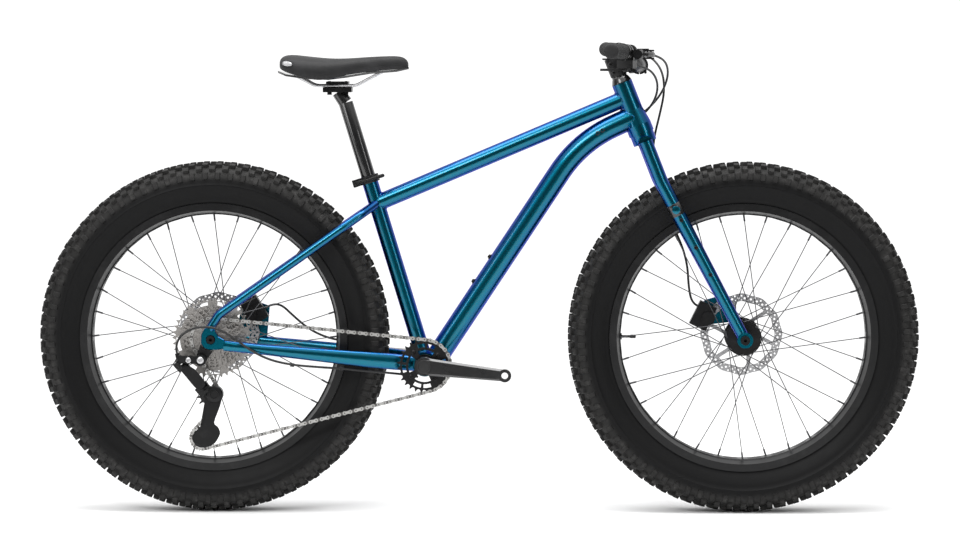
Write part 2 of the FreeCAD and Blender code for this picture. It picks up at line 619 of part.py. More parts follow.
def bar_spot(inward, ahead, upward):
    """A point near the right grip, measured from the bar's end."""
    return bar_end + bar_inward * inward + bar_ahead * ahead + bar_upward * upward


bar_bore = rod(bar_spot(0, 0, 0), bar_spot(240, 0, 0), size.bar_radius + size.fit_clearance)
grip = rod(bar_spot(-3, 0, 0), bar_spot(size.grip_length, 0, 0), size.grip_radius)
grip = grip.fuse(rod(bar_spot(size.grip_length - 10, 0, 0), bar_spot(size.grip_length, 0, 0), size.grip_radius + 1.5))
grip = grip.cut(bar_bore)
keep("grips", Part.makeCompound([grip, mirrored(grip)]))


# Brake levers and shifter
blade_pivot = bar_spot(176, 48, -6)


def brake_body():
    """The clamp, the master cylinder and the two ears with the pin of the blade."""
    body = rod(bar_spot(141, 0, 0), bar_spot(155, 0, 0), 16)
    body = body.fuse(block(bar_spot(148, 18, -4), bar_ahead, bar_inward, 20, 14, 14))
    body = body.fuse(rod(bar_spot(126, 30, -6), bar_spot(204, 26, -6), 10))
    for low, high in ((0.5, 4), (-16, -12.5)):
        middle = (low + high) / 2
        body = body.fuse(block(bar_spot(176, 40, middle), bar_ahead, bar_inward, 16, 14, high - low))
        body = body.fuse(rod(bar_spot(176, 48, low), bar_spot(176, 48, high), 8))
    body = body.fuse(rod(bar_spot(176, 48, -16), bar_spot(176, 48, 4), 2.5))
    return body.cut(bar_bore)


def brake_blade():
    """The lever blade: a hub on the pin and a bent finger rest."""
    hub = rod(bar_spot(176, 48, -11.8), bar_spot(176, 48, -0.2), 7)
    route = [bar_spot(174, 49, -6), bar_spot(150, 59, -6), bar_spot(112, 63, -6), bar_spot(84, 58, -6)]
    finger = pipe(route, 4.6, 50).fuse(Part.makeSphere(4.6, route[-1]))
    pin_space = rod(bar_spot(176, 48, -20), bar_spot(176, 48, 8), 2.5 + size.fit_clearance)
    return hub.fuse(finger).cut(pin_space)


keep("brake_lever_body_right", brake_body())
keep("brake_lever_body_left", mirrored(brake_body()))
keep("brake_blade_right", brake_blade())
keep("brake_blade_left", mirrored(brake_blade()))

SHIFT_PIVOT = (178, -8)
RELEASE_PIVOT = (186, -15)


def shifter_body():
    """The clamp, the housing under the bar and the two paddle pins."""
    body = rod(bar_spot(190, 0, 0), bar_spot(202, 0, 0), 15)
    body = body.fuse(block(bar_spot(196, 0, -18), bar_ahead, bar_inward, 16, 12, 14))
    body = body.fuse(block(bar_spot(182, -4, -27), bar_ahead, bar_inward, 34, 46, 17))
    body = body.fuse(rod(bar_spot(*SHIFT_PIVOT, -34), bar_spot(*SHIFT_PIVOT, -43), 3))
    body = body.fuse(rod(bar_spot(*RELEASE_PIVOT, -19), bar_spot(*RELEASE_PIVOT, -13), 3))
    return body.cut(bar_bore)


def paddle(pivot, tip, low, high):
    """A thumb paddle: a hub on its pin, an arm and a broad pad at the tip."""
    hub = rod(bar_spot(*pivot, low), bar_spot(*pivot, high), 7)
    middle = (low + high) / 2
    start = bar_spot(*pivot, middle)
    end = bar_spot(*tip, middle)
    arm = block((start + end) * 0.5, end - start, bar_upward, (end - start).Length, high - low, 8)
    pad = rod(bar_spot(*tip, low), bar_spot(*tip, high), 8)
    pin_space = rod(bar_spot(*pivot, low - 5), bar_spot(*pivot, high + 5), 3 + size.fit_clearance)
    return hub.fuse(arm).fuse(pad).cut(pin_space)


keep("shifter_body", shifter_body())
keep("shift_paddle", paddle(SHIFT_PIVOT, (164, -50), -41, -35.8))
keep("release_paddle", paddle(RELEASE_PIVOT, (176, -48), -18.2, -14.2))


# Wheels: tyre, rim, spokes, hub and rotor
def tyre(axle):
    """A hollow casing, open at the beads, with a crowned tread band."""
    bead_outer = size.rim_half_width - size.rim_wall - size.seat_gap
    bead_inner = bead_outer - size.tyre_wall
    seat = size.rim_inner_radius + size.bead_seat + size.seat_gap
    lip = size.rim_radius + 1
    belly = (lip + size.tyre_radius) / 2
    shoulder = size.tyre_radius - 7
    wide = size.tyre_half_width
    wall = size.tyre_wall

    def spot(y, radius):
        return axle + vec(0, y, radius)

    def half_turns(side):
        outer = [Part.LineSegment(spot(side * bead_outer, seat), spot(side * bead_outer, lip)),
                 Part.Arc(spot(side * bead_outer, lip), spot(side * wide, belly), spot(side * (wide - 5), shoulder - 8)),
                 Part.LineSegment(spot(side * (wide - 5), shoulder - 8), spot(side * (wide - 8), shoulder))]
        inner = [Part.LineSegment(spot(side * bead_inner, seat), spot(side * bead_inner, lip)),
                 Part.Arc(spot(side * bead_inner, lip), spot(side * (wide - wall), belly),
                          spot(side * (wide - wall - 8), shoulder - wall - 2)),
                 Part.LineSegment(spot(side * bead_inner, seat), spot(side * bead_outer, seat))]
        return outer + inner

    tread = Part.Arc(spot(-wide + 8, shoulder), spot(0, size.tyre_radius), spot(wide - 8, shoulder))
    lining = Part.Arc(spot(-wide + wall + 8, shoulder - wall - 2), spot(0, size.tyre_radius - wall - 4),
                      spot(wide - wall - 8, shoulder - wall - 2))
    curves = half_turns(LEFT) + half_turns(RIGHT) + [tread, lining]
    outline = Part.Wire(Part.sortEdges([curve.toShape() for curve in curves])[0])
    return Part.Face(outline).revolve(axle, AXLE_LINE, 360)


def rim(label, axle):
    """The wide single-wall rim: two flanges, two bead shelves and a dropped middle."""
    full = "2 * rim_half_width"
    turned(label, [
        ("rim_radius", "0"), ("rim_inner_radius", "0"), ("rim_bed_radius + rim_wall", "bed_edge - rim_wall"),
        ("rim_bed_radius", "bed_edge"), ("rim_bed_radius", full + " - bed_edge"),
        ("rim_bed_radius + rim_wall", full + " - bed_edge + rim_wall"), ("rim_inner_radius", full),
        ("rim_radius", full), ("rim_radius", full + " - rim_wall"),
        ("rim_inner_radius + bead_seat", full + " - rim_wall"),
        ("rim_inner_radius + bead_seat", full + " - rim_wall - tyre_wall - bead_seat"),
        ("rim_bed_radius + rim_wall", full + " - bed_edge - rim_wall"),
        ("rim_bed_radius + rim_wall", "bed_edge + rim_wall"),
        ("rim_inner_radius + bead_seat", "rim_wall + tyre_wall + bead_seat"),
        ("rim_inner_radius + bead_seat", "rim_wall"), ("rim_radius", "rim_wall"),
    ], axle - AXLE_LINE * size.rim_half_width, AXLE_LINE)


def hub(end, axle):
    """A hub shell with two spoke flanges, end caps and the rotor seat on the left."""
    middle = "(%s_hub_width / 2 - side_play)" % end
    spacing = "%s_flange_spacing" % end
    bore = "%s_axle_radius + fit_clearance" % end
    half = "flange_thickness / 2"
    rotor_seat = middle + " + %s_hub_width / 2 - rotor_inset - rotor_thickness / 2" % end
    turned(end + "_hub", [
        (bore, "0"), ("cap_radius", "0"), ("cap_radius", "%s - %s - %s" % (middle, spacing, half)),
        ("flange_radius", "%s - %s - %s" % (middle, spacing, half)),
        ("flange_radius", "%s - %s + %s" % (middle, spacing, half)),
        ("hub_radius", "%s - %s + %s" % (middle, spacing, half)),
        ("hub_radius", "%s + %s - %s" % (middle, spacing, half)),
        ("flange_radius", "%s + %s - %s" % (middle, spacing, half)),
        ("flange_radius", "%s + %s + %s" % (middle, spacing, half)),
        ("rotor_seat_radius", "%s + %s + %s" % (middle, spacing, half)), ("rotor_seat_radius", rotor_seat),
        ("cap_radius", rotor_seat), ("cap_radius", "2 * " + middle), (bore, "2 * " + middle),
    ], axle - AXLE_LINE * (measured(middle)), AXLE_LINE)


CROSS_ANGLE = 67.5
NIPPLE_LENGTH = 14


def spokes(axle, spacing):
    """Three-cross lacing: half the spokes lie outside their flange and half inside it."""
    bundle = []
    hole_radius = size.flange_radius - 3.5
    half = size.flange_thickness / 2 + size.spoke_radius
    for index in range(int(size.spoke_count)):
        side = LEFT if index % 2 else RIGHT
        lead = 1 if (index // 2) % 2 else -1
        rim_angle = 2 * math.pi * index / size.spoke_count
        hub_angle = rim_angle + lead * math.radians(CROSS_ANGLE)
        stand = half + size.elbow_room if lead > 0 else -half - size.seat_gap
        foot = axle + vec(hole_radius * math.cos(hub_angle), side * (spacing + stand),
                          hole_radius * math.sin(hub_angle))
        reach = size.rim_bed_radius - size.seat_gap * 2
        tip = axle + vec(reach * math.cos(rim_angle), side * size.drilling_offset, reach * math.sin(rim_angle))
        neck = tip + unit(foot - tip) * NIPPLE_LENGTH
        bundle.append(rod(foot, neck, size.spoke_radius).fuse(rod(neck, tip, size.spoke_radius * 2)))
    return Part.makeCompound(bundle)


ROTOR_ARMS = 6
ROTOR_HOLES = 30


def rotor(axle, rotor_y):
    """A brake rotor: a drilled track, swept arms and a bolted centre."""
    half = size.rotor_thickness / 2
    low = axle + AXLE_LINE * (rotor_y - half)
    high = axle + AXLE_LINE * (rotor_y + half)
    track_inner = size.rotor_radius - 17
    disc = sleeve(low, high, size.rotor_radius, track_inner)
    disc = disc.fuse(sleeve(low, high, size.rotor_seat_radius + 4, size.cap_radius + 1))
    for index in range(ROTOR_ARMS):
        angle = 2 * math.pi * index / ROTOR_ARMS
        outward = vec(math.cos(angle), 0, math.sin(angle))
        sideways = vec(-math.sin(angle), 0, math.cos(angle))
        start = outward * (size.rotor_seat_radius + 1) + sideways * 6
        end = outward * (track_inner + 3) - sideways * 20
        middle = axle + AXLE_LINE * rotor_y + (start + end) * 0.5
        disc = disc.fuse(block(middle, end - start, AXLE_LINE, (end - start).Length, size.rotor_thickness, 8))
    holes = []
    for index in range(ROTOR_HOLES):
        angle = 2 * math.pi * index / ROTOR_HOLES
        spot = vec(math.cos(angle), 0, math.sin(angle)) * (size.rotor_radius - 5 - 7 * (index % 2))
        holes.append(rod(low - AXLE_LINE + spot, high + AXLE_LINE + spot, 2.8))
    return disc.cut(Part.makeCompound(holes))


WHEELS = (("front", front_axle, size.front_flange_spacing, front_rotor_y),
          ("rear", rear_axle, size.rear_flange_spacing, rear_rotor_y))
for end, axle, spacing, rotor_y in WHEELS:
    keep(end + "_tire", tyre(axle))
    rim(end + "_rim", axle)
    keep(end + "_spokes", spokes(axle, spacing))
    hub(end, axle)
    keep(end + "_rotor", rotor(axle, rotor_y))


# Chain line: pitch circles, belt tangents and roller places
def pitch_radius(teeth):
    """The radius of the circle through the roller centres."""
    return size.chain_pitch / (2 * math.sin(math.pi / teeth))


guide_centre = rear_axle + vec(-size.guide_setback, -size.chain_line, -size.guide_drop)
cage_lean = math.radians(size.cage_angle)
cage_line = vec(-math.sin(cage_lean), 0, -math.cos(cage_lean))
tension_centre = guide_centre + cage_line * size.cage_length
ring_centre = crank_centre - AXLE_LINE * size.chain_line
cog_centre = rear_axle - AXLE_LINE * size.chain_line
# Each wheel of the chain: centre, teeth and turning sense seen from the drive side
CHAIN_WHEELS = (("cog", cog_centre, size.cog_teeth, -1), ("ring", ring_centre, size.ring_teeth, -1),
                ("tension", tension_centre, size.pulley_teeth, -1), ("guide", guide_centre, size.pulley_teeth, 1))


def around(centre, radius, angle):
    """A point on a circle in the chain's plane."""
    return centre + vec(radius * math.cos(angle), 0, radius * math.sin(angle))


def chain_runs():
    """The touching angles of each straight run from one wheel to the next, and its length."""
    runs = []
    for index, (name, centre, teeth, sense) in enumerate(CHAIN_WHEELS):
        other = CHAIN_WHEELS[(index + 1) % len(CHAIN_WHEELS)]
        gap = other[1] - centre
        lean = other[3] * pitch_radius(other[2]) - sense * pitch_radius(teeth)
        length = math.sqrt(gap.Length ** 2 - lean ** 2)
        heading = math.atan2(gap.z, gap.x) - math.atan2(lean, length)
        runs.append((heading - sense * math.pi / 2, heading - other[3] * math.pi / 2, length))
    return runs


def chain_layout():
    """The chain's centre line as edges, the roller centres, and each wheel's roller angle."""
    runs = chain_runs()
    edges = []
    pieces = []
    for index in range(len(CHAIN_WHEELS)):
        name, centre, teeth, sense = CHAIN_WHEELS[index]
        leave, arrive, length = runs[index]
        follower = CHAIN_WHEELS[(index + 1) % len(CHAIN_WHEELS)]
        start = around(centre, pitch_radius(teeth), leave)
        end = around(follower[1], pitch_radius(follower[2]), arrive)
        edges.append(Part.LineSegment(start, end).toShape())
        pieces.append(("run", start, end, length / size.chain_pitch))
        next_leave = runs[(index + 1) % len(CHAIN_WHEELS)][0]
        turn = (follower[3] * (next_leave - arrive)) % (2 * math.pi)
        radius = pitch_radius(follower[2])
        halfway = arrive + follower[3] * turn / 2
        edges.append(Part.Arc(end, around(follower[1], radius, halfway),
                              around(follower[1], radius, next_leave)).toShape())
        pieces.append(("arc", follower, arrive, turn * follower[2] / (2 * math.pi)))
    links = sum(piece[3] for piece in pieces)
    count = 2 * round(links / 2)
    step = links / count
    rollers = []
    phases = {}
    begun = 0
    for kind, first, second, span in pieces:
        number = math.ceil(begun / step - 1e-9)
        while number * step < begun + span - 1e-9:
            share = number * step - begun
            if kind == "run":
                rollers.append(first + (second - first) * (share / span))
            else:
                angle = second + first[3] * share * 2 * math.pi / first[2]
                rollers.append(around(first[1], pitch_radius(first[2]), angle))
                if share <= span / 2 + 0.5:
                    phases[first[0]] = angle
            number += 1
        begun += span
    print("chain: %d links, %.3f pitches between rollers" % (count, step))
    return Part.Wire(edges), rollers, phases


chain_wire, roller_centres, roller_angles = chain_layout()
half_inner = size.chain_inner_width / 2
outer_edge = chain_wire.makeOffset2D(size.plate_height / 2)
inner_edge = chain_wire.makeOffset2D(-size.plate_height / 2)
strip_outline = Part.Face([outer_edge, inner_edge] if outer_edge.Length > inner_edge.Length
                          else [inner_edge, outer_edge])
strip_outline.validate()
chain_solids = []
for near in (-half_inner - size.plate_thickness, half_inner):
    strip = strip_outline.copy()
    strip.translate(AXLE_LINE * near)
    chain_solids.append(strip.extrude(AXLE_LINE * size.plate_thickness))
for centre in roller_centres:
    chain_solids.append(rod(centre - AXLE_LINE * half_inner, centre + AXLE_LINE * half_inner, size.roller_radius))
keep("chain", Part.makeCompound(chain_solids))


def sprocket(centre, teeth, roller_angle, bore, windows=0):
    """A toothed plate across the chain's plane, with round windows where it is wide."""
    pitch = 2 * math.pi / teeth
    root = pitch_radius(teeth) - size.roller_radius - size.seat_gap
    tip = pitch_radius(teeth) + size.roller_radius
    corners = []
    for index in range(int(teeth)):
        middle = roller_angle + (index + 0.5) * pitch
        for radius, share in ((root, -0.26), (tip, -0.07), (tip, 0.07), (root, 0.26)):
            corners.append(around(centre, radius, middle + share * pitch))
    base = vec(0, -size.sprocket_thickness / 2, 0)
    plate = Part.Face(Part.makePolygon([corner + base for corner in corners + corners[:1]]))
    solid = plate.extrude(AXLE_LINE * size.sprocket_thickness)
    solid = solid.cut(rod(centre - AXLE_LINE * 5, centre + AXLE_LINE * 5, bore))
    room = (root - 4 - bore - 4) / 2
    for index in range(windows):
        spot = around(centre, bore + 4 + room, roller_angle + 2 * math.pi * index / windows)
        solid = solid.cut(rod(spot - AXLE_LINE * 5, spot + AXLE_LINE * 5, min(room, math.pi * (bore + room) / windows - 2)))
    return solid


# Crank: right arm with its spindle, left arm, chainring
crank_lean = -math.radians(size.crank_angle)
crank_line = vec(math.cos(crank_lean), 0, math.sin(crank_lean))
crank_across = vec(-math.sin(crank_lean), 0, math.cos(crank_lean))
arm_inner = size.chain_line + 7
RING_BOSS = 17
EYE_RADIUS = 14


def crank_arm(direction, across):
    """An arm on the right side that flares out from the spindle to the pedal eye."""
    half = vec(0, size.crank_thickness / 2, 0)
    root = crank_centre - AXLE_LINE * (arm_inner + size.crank_thickness / 2)
    eye = root + direction * size.crank_length - AXLE_LINE * size.crank_flare
    middle = root + (eye - root) * 0.5
    beam = Part.makeLoft([bevelled(root, half, across * 19, 4), bevelled(middle, half * 0.95, across * 15.5, 4),
                          bevelled(eye, half * 0.9, across * 12.5, 4)], True, True)
    beam = beam.fuse(rod(root + half, root - half, 20)).fuse(rod(eye + half, eye - half, EYE_RADIUS))
    return beam.cut(rod(eye + half * 2, eye - half * 2, size.pedal_hole_radius))


spindle_tip = arm_inner + size.crank_thickness
right_arm = crank_arm(crank_line, crank_across)
boss = rod(crank_centre - AXLE_LINE * (arm_inner + 1), crank_centre - AXLE_LINE * (size.chain_line - 4), RING_BOSS)
spindle_right = crank_centre - AXLE_LINE * spindle_tip
spindle_left = crank_centre + AXLE_LINE * spindle_tip
spindle = sleeve(spindle_right, spindle_left, size.spindle_radius, size.spindle_radius - size.spindle_wall)
spindle_space = rod(spindle_right, spindle_left, size.spindle_radius + size.fit_clearance)
keep("crank_arm_right", Part.makeCompound([right_arm.fuse(boss).cut(spindle_space), spindle]))
left_arm = mirrored(crank_arm(-crank_line, crank_across))
keep("crank_arm_left", left_arm.cut(spindle_space))
keep("chainring", sprocket(ring_centre, size.ring_teeth, roller_angles["ring"], RING_BOSS + size.fit_clearance, 4))


# Cassette: ten sprockets on the freehub body
CARRIER_RADIUS = 17
carrier_bore = size.cap_radius + size.fit_clearance
cog_place = SPROCKET_TEETH.index(int(size.cog_teeth))
sprockets = []
for place, teeth in enumerate(SPROCKET_TEETH):
    centre = cog_centre - AXLE_LINE * ((place - cog_place) * size.sprocket_step)
    windows = 10 if teeth >= 26 else 0
    sprockets.append(sprocket(centre, teeth, roller_angles["cog"], CARRIER_RADIUS + size.fit_clearance, windows))
carrier_inner = cog_centre + AXLE_LINE * (cog_place * size.sprocket_step + 3)
carrier_outer = cog_centre - AXLE_LINE * ((len(SPROCKET_TEETH) - 1 - cog_place) * size.sprocket_step + 2)
carrier = sleeve(carrier_inner, carrier_outer, CARRIER_RADIUS, carrier_bore)
keep("cassette", Part.makeCompound([carrier] + sprockets))


# Rear derailleur: hanger, knuckle, two links, body, cage and pulleys
cage_pivot = guide_centre + vec(10, 0, 6)
HANGER_BOLT = (-21, -43)
hanger_bolt = rear_axle + vec(HANGER_BOLT[0], 0, HANGER_BOLT[1])
hanger_near = -rear_face
hanger_far = -rear_face - size.dropout_thickness
barrel_face = size.chain_line + size.cage_half_width + size.plate_gauge + size.side_play
link_middle_y = -(barrel_face + size.link_stand_off)
body_end = vec(cage_pivot.x - 24, link_middle_y, cage_pivot.z + 14)
link_lean = math.radians(size.link_angle)
link_line = vec(math.cos(link_lean), 0, -math.sin(link_lean))
knuckle_end = body_end - link_line * size.link_length
slant = math.radians(size.link_slant)
shift_line = vec(-math.sin(link_lean) * math.sin(slant), math.cos(slant), -math.cos(link_lean) * math.sin(slant))
link_axis = link_line.cross(shift_line)
PIN_RADIUS = 2.5
LINK_HALF = 8
HOUSING_STOP = 18
HOUSING_LINE = unit(vec(-0.25, 0, 1))


def at_height(point, y):
    """The same side-view point at another Y."""
    return vec(point.x, y, point.z)


def derailleur_hanger():
    """The replaceable tab under the right dropout."""
    outline = [(rear_axle.x + dx, rear_axle.z + dz) for dx, dz in
               ((-20, -6), (8, -20), (-8, -42), (-14, -54), (-28, -54), (-33, -40))]
    tab = side_plate(outline, hanger_near, hanger_far)
    tab = tab.cut(rod(at_height(rear_axle, hanger_near + 1), at_height(rear_axle, hanger_far - 1),
                      size.dropout_radius + size.fit_clearance))
    bolt_space = rod(at_height(hanger_bolt, hanger_near), at_height(hanger_bolt, hanger_far), 5 + size.fit_clearance)
    return largest(tab.cut(bolt_space))


def clevis(end, away):
    """Two cheeks with the pins of both links, and the bridge that joins the cheeks."""
    solid = None
    for cheek in (-1, 1):
        middle = end + link_axis * (cheek * (LINK_HALF + size.side_play + 1.5)) + away * 5
        plate = block(middle, link_axis, shift_line, 3, size.link_spacing + 12, 22)
        solid = plate if solid is None else solid.fuse(plate)
    bridge = block(end + away * 13, link_axis, shift_line, 2 * LINK_HALF + 2 * size.side_play + 6,
                   size.link_spacing + 12, 6)
    solid = solid.fuse(bridge)
    for side in (-1, 1):
        spot = end + shift_line * (side * size.link_spacing / 2)
        half = link_axis * (LINK_HALF + size.side_play + 1.5)
        solid = solid.fuse(rod(spot - half, spot + half, PIN_RADIUS))
    return solid


def link(side):
    """A flat bar between its two pin eyes."""
    offset = shift_line * (side * size.link_spacing / 2)
    half = link_axis * LINK_HALF
    start = knuckle_end + offset
    end = body_end + offset
    bar = block((start + end) * 0.5, link_line, shift_line, size.link_length, 4, 2 * LINK_HALF)
    for spot in (start, end):
        bar = bar.fuse(rod(spot - half, spot + half, 4.5))
    for spot in (start, end):
        bar = bar.cut(rod(spot - half * 2, spot + half * 2, PIN_RADIUS + size.fit_clearance))
    return bar


def derailleur_knuckle():
    """The mounting barrel on the hanger and the arm back to the links."""
    face = hanger_far - size.seat_gap
    barrel = rod(at_height(hanger_bolt, face), at_height(hanger_bolt, face - 14), 12)
    bolt = rod(at_height(hanger_bolt, hanger_near - 1), at_height(hanger_bolt, face - 14), 5)
    elbow = knuckle_end - link_line * 13
    outside = vec(elbow.x + 4, face - 8, elbow.z + 6)
    start = at_height(hanger_bolt, face - 8)
    reach = outside - start
    arm = block((start + outside) * 0.5, reach, AXLE_LINE, reach.Length + 8, 11, 16)
    foot = elbow - outside
    neck = block((elbow + outside) * 0.5, foot, link_axis, foot.Length + 4, 14, 14)
    stop = rod(elbow, elbow + HOUSING_LINE * HOUSING_STOP, 5)
    return barrel.fuse(bolt).fuse(arm).fuse(neck).fuse(stop).fuse(clevis(knuckle_end, -link_line))


def derailleur_body():
    """The barrel with the cage pin, and the clevis that the links carry."""
    near = at_height(cage_pivot, -barrel_face)
    far = at_height(cage_pivot, -barrel_face - size.barrel_length)
    barrel = rod(near, far, size.barrel_radius)
    pin = rod(at_height(cage_pivot, -barrel_face + size.plate_gauge + size.side_play), near, 5)
    return barrel.fuse(pin).fuse(clevis(body_end, link_line))


def cage():
    """Two plates joined by the axles of both pulleys."""
    solid = None
    for side in (-1, 1):
        near = -size.chain_line + side * size.cage_half_width
        far = near + side * size.plate_gauge
        ends = [(guide_centre, 11), (tension_centre, 11), (at_height(cage_pivot, near), 11)]
        plate = None
        for centre, radius in ends[:3 if side < 0 else 2]:
            disc = rod(at_height(centre, near), at_height(centre, far), radius)
            plate = disc if plate is None else plate.fuse(disc)
        middle = (guide_centre + tension_centre) * 0.5
        plate = plate.fuse(block(at_height(middle, (near + far) / 2), cage_line, AXLE_LINE, size.cage_length,
                                 size.plate_gauge, 15))
        solid = plate if solid is None else solid.fuse(plate)
    span = size.cage_half_width + size.plate_gauge
    for centre in (guide_centre, tension_centre):
        solid = solid.fuse(rod(centre - AXLE_LINE * span, centre + AXLE_LINE * span, PIN_RADIUS))
    pin_space = rod(at_height(cage_pivot, -barrel_face - 1), at_height(cage_pivot, -size.chain_line - 1),
                    5 + size.fit_clearance)
    return solid.cut(pin_space)


keep("derailleur_hanger", derailleur_hanger())
keep("derailleur_knuckle", derailleur_knuckle())
keep("derailleur_outer_link", link(-1))
keep("derailleur_inner_link", link(1))
keep("derailleur_body", derailleur_body())
keep("derailleur_cage", cage())
for name, centre in (("guide", guide_centre), ("tension", tension_centre)):
    wheel = sprocket(centre, size.pulley_teeth, roller_angles[name], PIN_RADIUS + size.fit_clearance)
    boss_half = AXLE_LINE * (size.cage_half_width - size.side_play)
    boss_ring = sleeve(centre - boss_half, centre + boss_half, 6, PIN_RADIUS + size.fit_clearance)
    keep(name + "_pulley", wheel.fuse(boss_ring))


# Hoses and shift housing
HOSE_RADIUS = 2.5


def hose(name, points):
    """A hose along its route; prints its bends and compares its volume with section times length."""
    path, radii = rounded_path(points)
    section = Part.Wire([Part.Circle(points[0], points[1] - points[0], HOSE_RADIUS).toShape()])
    solid = path.makePipeShell([section], True, False)
    share = solid.Volume / (math.pi * HOSE_RADIUS ** 2 * path.Length)
    print("%s: %.0f mm long, bends %s, volume share %.4f" % (name, path.Length, radii, share))
    return solid


def mirror_point(point):
    """The same point on the left side."""
    return vec(point.x, -point.y, point.z)


hose_exit = bar_spot(204 + size.hose_gap, 26, -6)
hose_lead = hose_exit + bar_inward * 16
left_exit = mirror_point(hose_exit)
left_lead = mirror_point(hose_lead)


def caliper_port(axle, angle, rotor_y, along):
    """Where the hose meets the outer face of a caliper, and the point of its first straight run."""
    turn = math.radians(angle)
    toward = vec(math.cos(turn), 0, math.sin(turn))
    onward = vec(math.sin(turn), 0, -math.cos(turn))
    port = axle + toward * (size.rotor_radius + 24 + size.hose_gap) + onward * along + AXLE_LINE * rotor_y
    return [port, port + toward * 14]


front_port = caliper_port(front_axle, FRONT_CALIPER_ANGLE, front_rotor_y - 2, 14)
rear_port = caliper_port(rear_axle, REAR_CALIPER_ANGLE, rear_rotor_y - 2, 8)
FRONT_HOSE = [(382, 122, 984), (402, 96, 955), (406, 88, 912), (396, 102, 862), (384, 114, 812), (380, 117, 760),
              (388, 113, 706), (406, 104, 656), (428, 93, 612), (446, 82, 572), (457, 72, 530), (459, 64, 486)]

REAR_LOOP = [(383, -122, 992), (404, -82, 978), (410, -42, 952), (402, -4, 920), (382, 28, 888), (350, 44, 860),
             (312, 48, 842), (280, 46, 831), (258, 38, 824)]
SHIFT_LOOP = [(346, -128, 970), (372, -90, 960), (387, -48, 936), (386, -8, 904), (368, 24, 872), (334, 44, 844),
              (294, 48, 822), (262, 46, 810), (242, 38, 806)]
REAR_RUN = [(-438, 88, 444), (-410, 94, 416), (-374, 92, 386), (-332, 86, 368), (-290, 80, 362), (-262, 75, 359)]
SHIFT_RUN = [(-640, -108, 392), (-606, -116, 410), (-566, -118, 410), (-528, -117, 390), (-492, -113, 361),
             (-450, -105, 338), (-400, -95, 326), (-346, -88, 321), (-294, -80, 317), (-244, -72, 311),
             (-196, -58, 306), (-156, -38, 300), (-132, -24, 294)]
port_skin = size.down_tube_radius + size.hose_gap
housing_exit = bar_spot(205 + size.hose_gap, -4, -27)
housing_lead = housing_exit + bar_inward * 14
elbow = knuckle_end - link_line * 13
stop_end = elbow + HOUSING_LINE * (HOUSING_STOP + size.hose_gap)


def frame_port(spot):
    """The point on the down tube's left side where a loop from the bar goes in."""
    return vec(spot[0], port_skin, spot[2])


def route(start, spots, finish):
    """One list of points from a start, hand-chosen spots and an end."""
    return start + [vec(*spot) for spot in spots] + finish


keep("front_brake_hose", hose("front brake hose", route([left_exit, left_lead], FRONT_HOSE, front_port[::-1])))
rear_cords = [
    hose("rear brake hose, bar to frame", route([hose_exit, hose_lead], REAR_LOOP, [frame_port(REAR_LOOP[-1])])),
    hose("shift housing, bar to frame", route([housing_exit, housing_lead], SHIFT_LOOP, [frame_port(SHIFT_LOOP[-1])])),
    hose("rear brake hose, stay to caliper", route(rear_port, REAR_RUN, [])),
    hose("shift housing, derailleur to frame", route([stop_end, stop_end + HOUSING_LINE * 14], SHIFT_RUN, [])),
]
keep("rear_hose_and_housing", Part.makeCompound(rear_cords))


# Every object is sound before anything is written
doc.recompute()
for item in doc.Objects:
    if "Invalid" in item.State or "Error" in item.State:
        raise RuntimeError("failed object: " + item.Name)
os.makedirs("parts", exist_ok=True)
for label, node in NODES.items():
    if node.Shape.isNull() or not node.Shape.isValid():
        raise RuntimeError("unsound shape: " + label)
    node.Shape.exportStep("parts/%s.step" % label)
    print("%-24s %2d solids %10.0f mm3" % (label, len(node.Shape.Solids), node.Shape.Volume))
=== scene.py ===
"""Looks of a fat tire bike: paint, rubber, metal and the small pieces around the fixed frame.

Sizes are millimetres, turned into metres where a mesh becomes a piece. +X is forward, +Z is up and
the drive side is -Y.
"""
import logging
import math
from dataclasses import dataclass, field
from enum import Enum
from typing import Iterable, Sequence

import bmesh
import bpy
from mathutils import Matrix, Vector


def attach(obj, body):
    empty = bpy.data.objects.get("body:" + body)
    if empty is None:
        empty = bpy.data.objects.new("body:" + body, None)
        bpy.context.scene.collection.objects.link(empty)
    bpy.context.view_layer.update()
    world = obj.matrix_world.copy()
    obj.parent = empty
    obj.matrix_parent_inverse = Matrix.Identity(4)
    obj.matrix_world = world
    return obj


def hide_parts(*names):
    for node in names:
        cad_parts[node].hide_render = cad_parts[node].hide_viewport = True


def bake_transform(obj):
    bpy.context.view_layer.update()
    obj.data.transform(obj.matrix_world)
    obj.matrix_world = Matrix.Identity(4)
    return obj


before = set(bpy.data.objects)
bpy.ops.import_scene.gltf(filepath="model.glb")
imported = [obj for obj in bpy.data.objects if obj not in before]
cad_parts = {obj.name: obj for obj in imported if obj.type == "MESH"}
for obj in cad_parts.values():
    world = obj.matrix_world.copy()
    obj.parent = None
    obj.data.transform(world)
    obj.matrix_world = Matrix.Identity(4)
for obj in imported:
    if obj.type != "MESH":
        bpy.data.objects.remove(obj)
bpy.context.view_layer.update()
LOG = logging.getLogger("fat_tire_bike")
MM = 0.001
AXLE_LINE = Vector((0, 1, 0))
RIGHT = -1
LEFT = 1
SIDE_NAMES = {RIGHT: "right", LEFT: "left"}


def spot_field(x: float, y: float, z: float) -> Vector:
    """A dataclass field that holds a fresh vector."""
    return field(default_factory=lambda: Vector((x, y, z)))


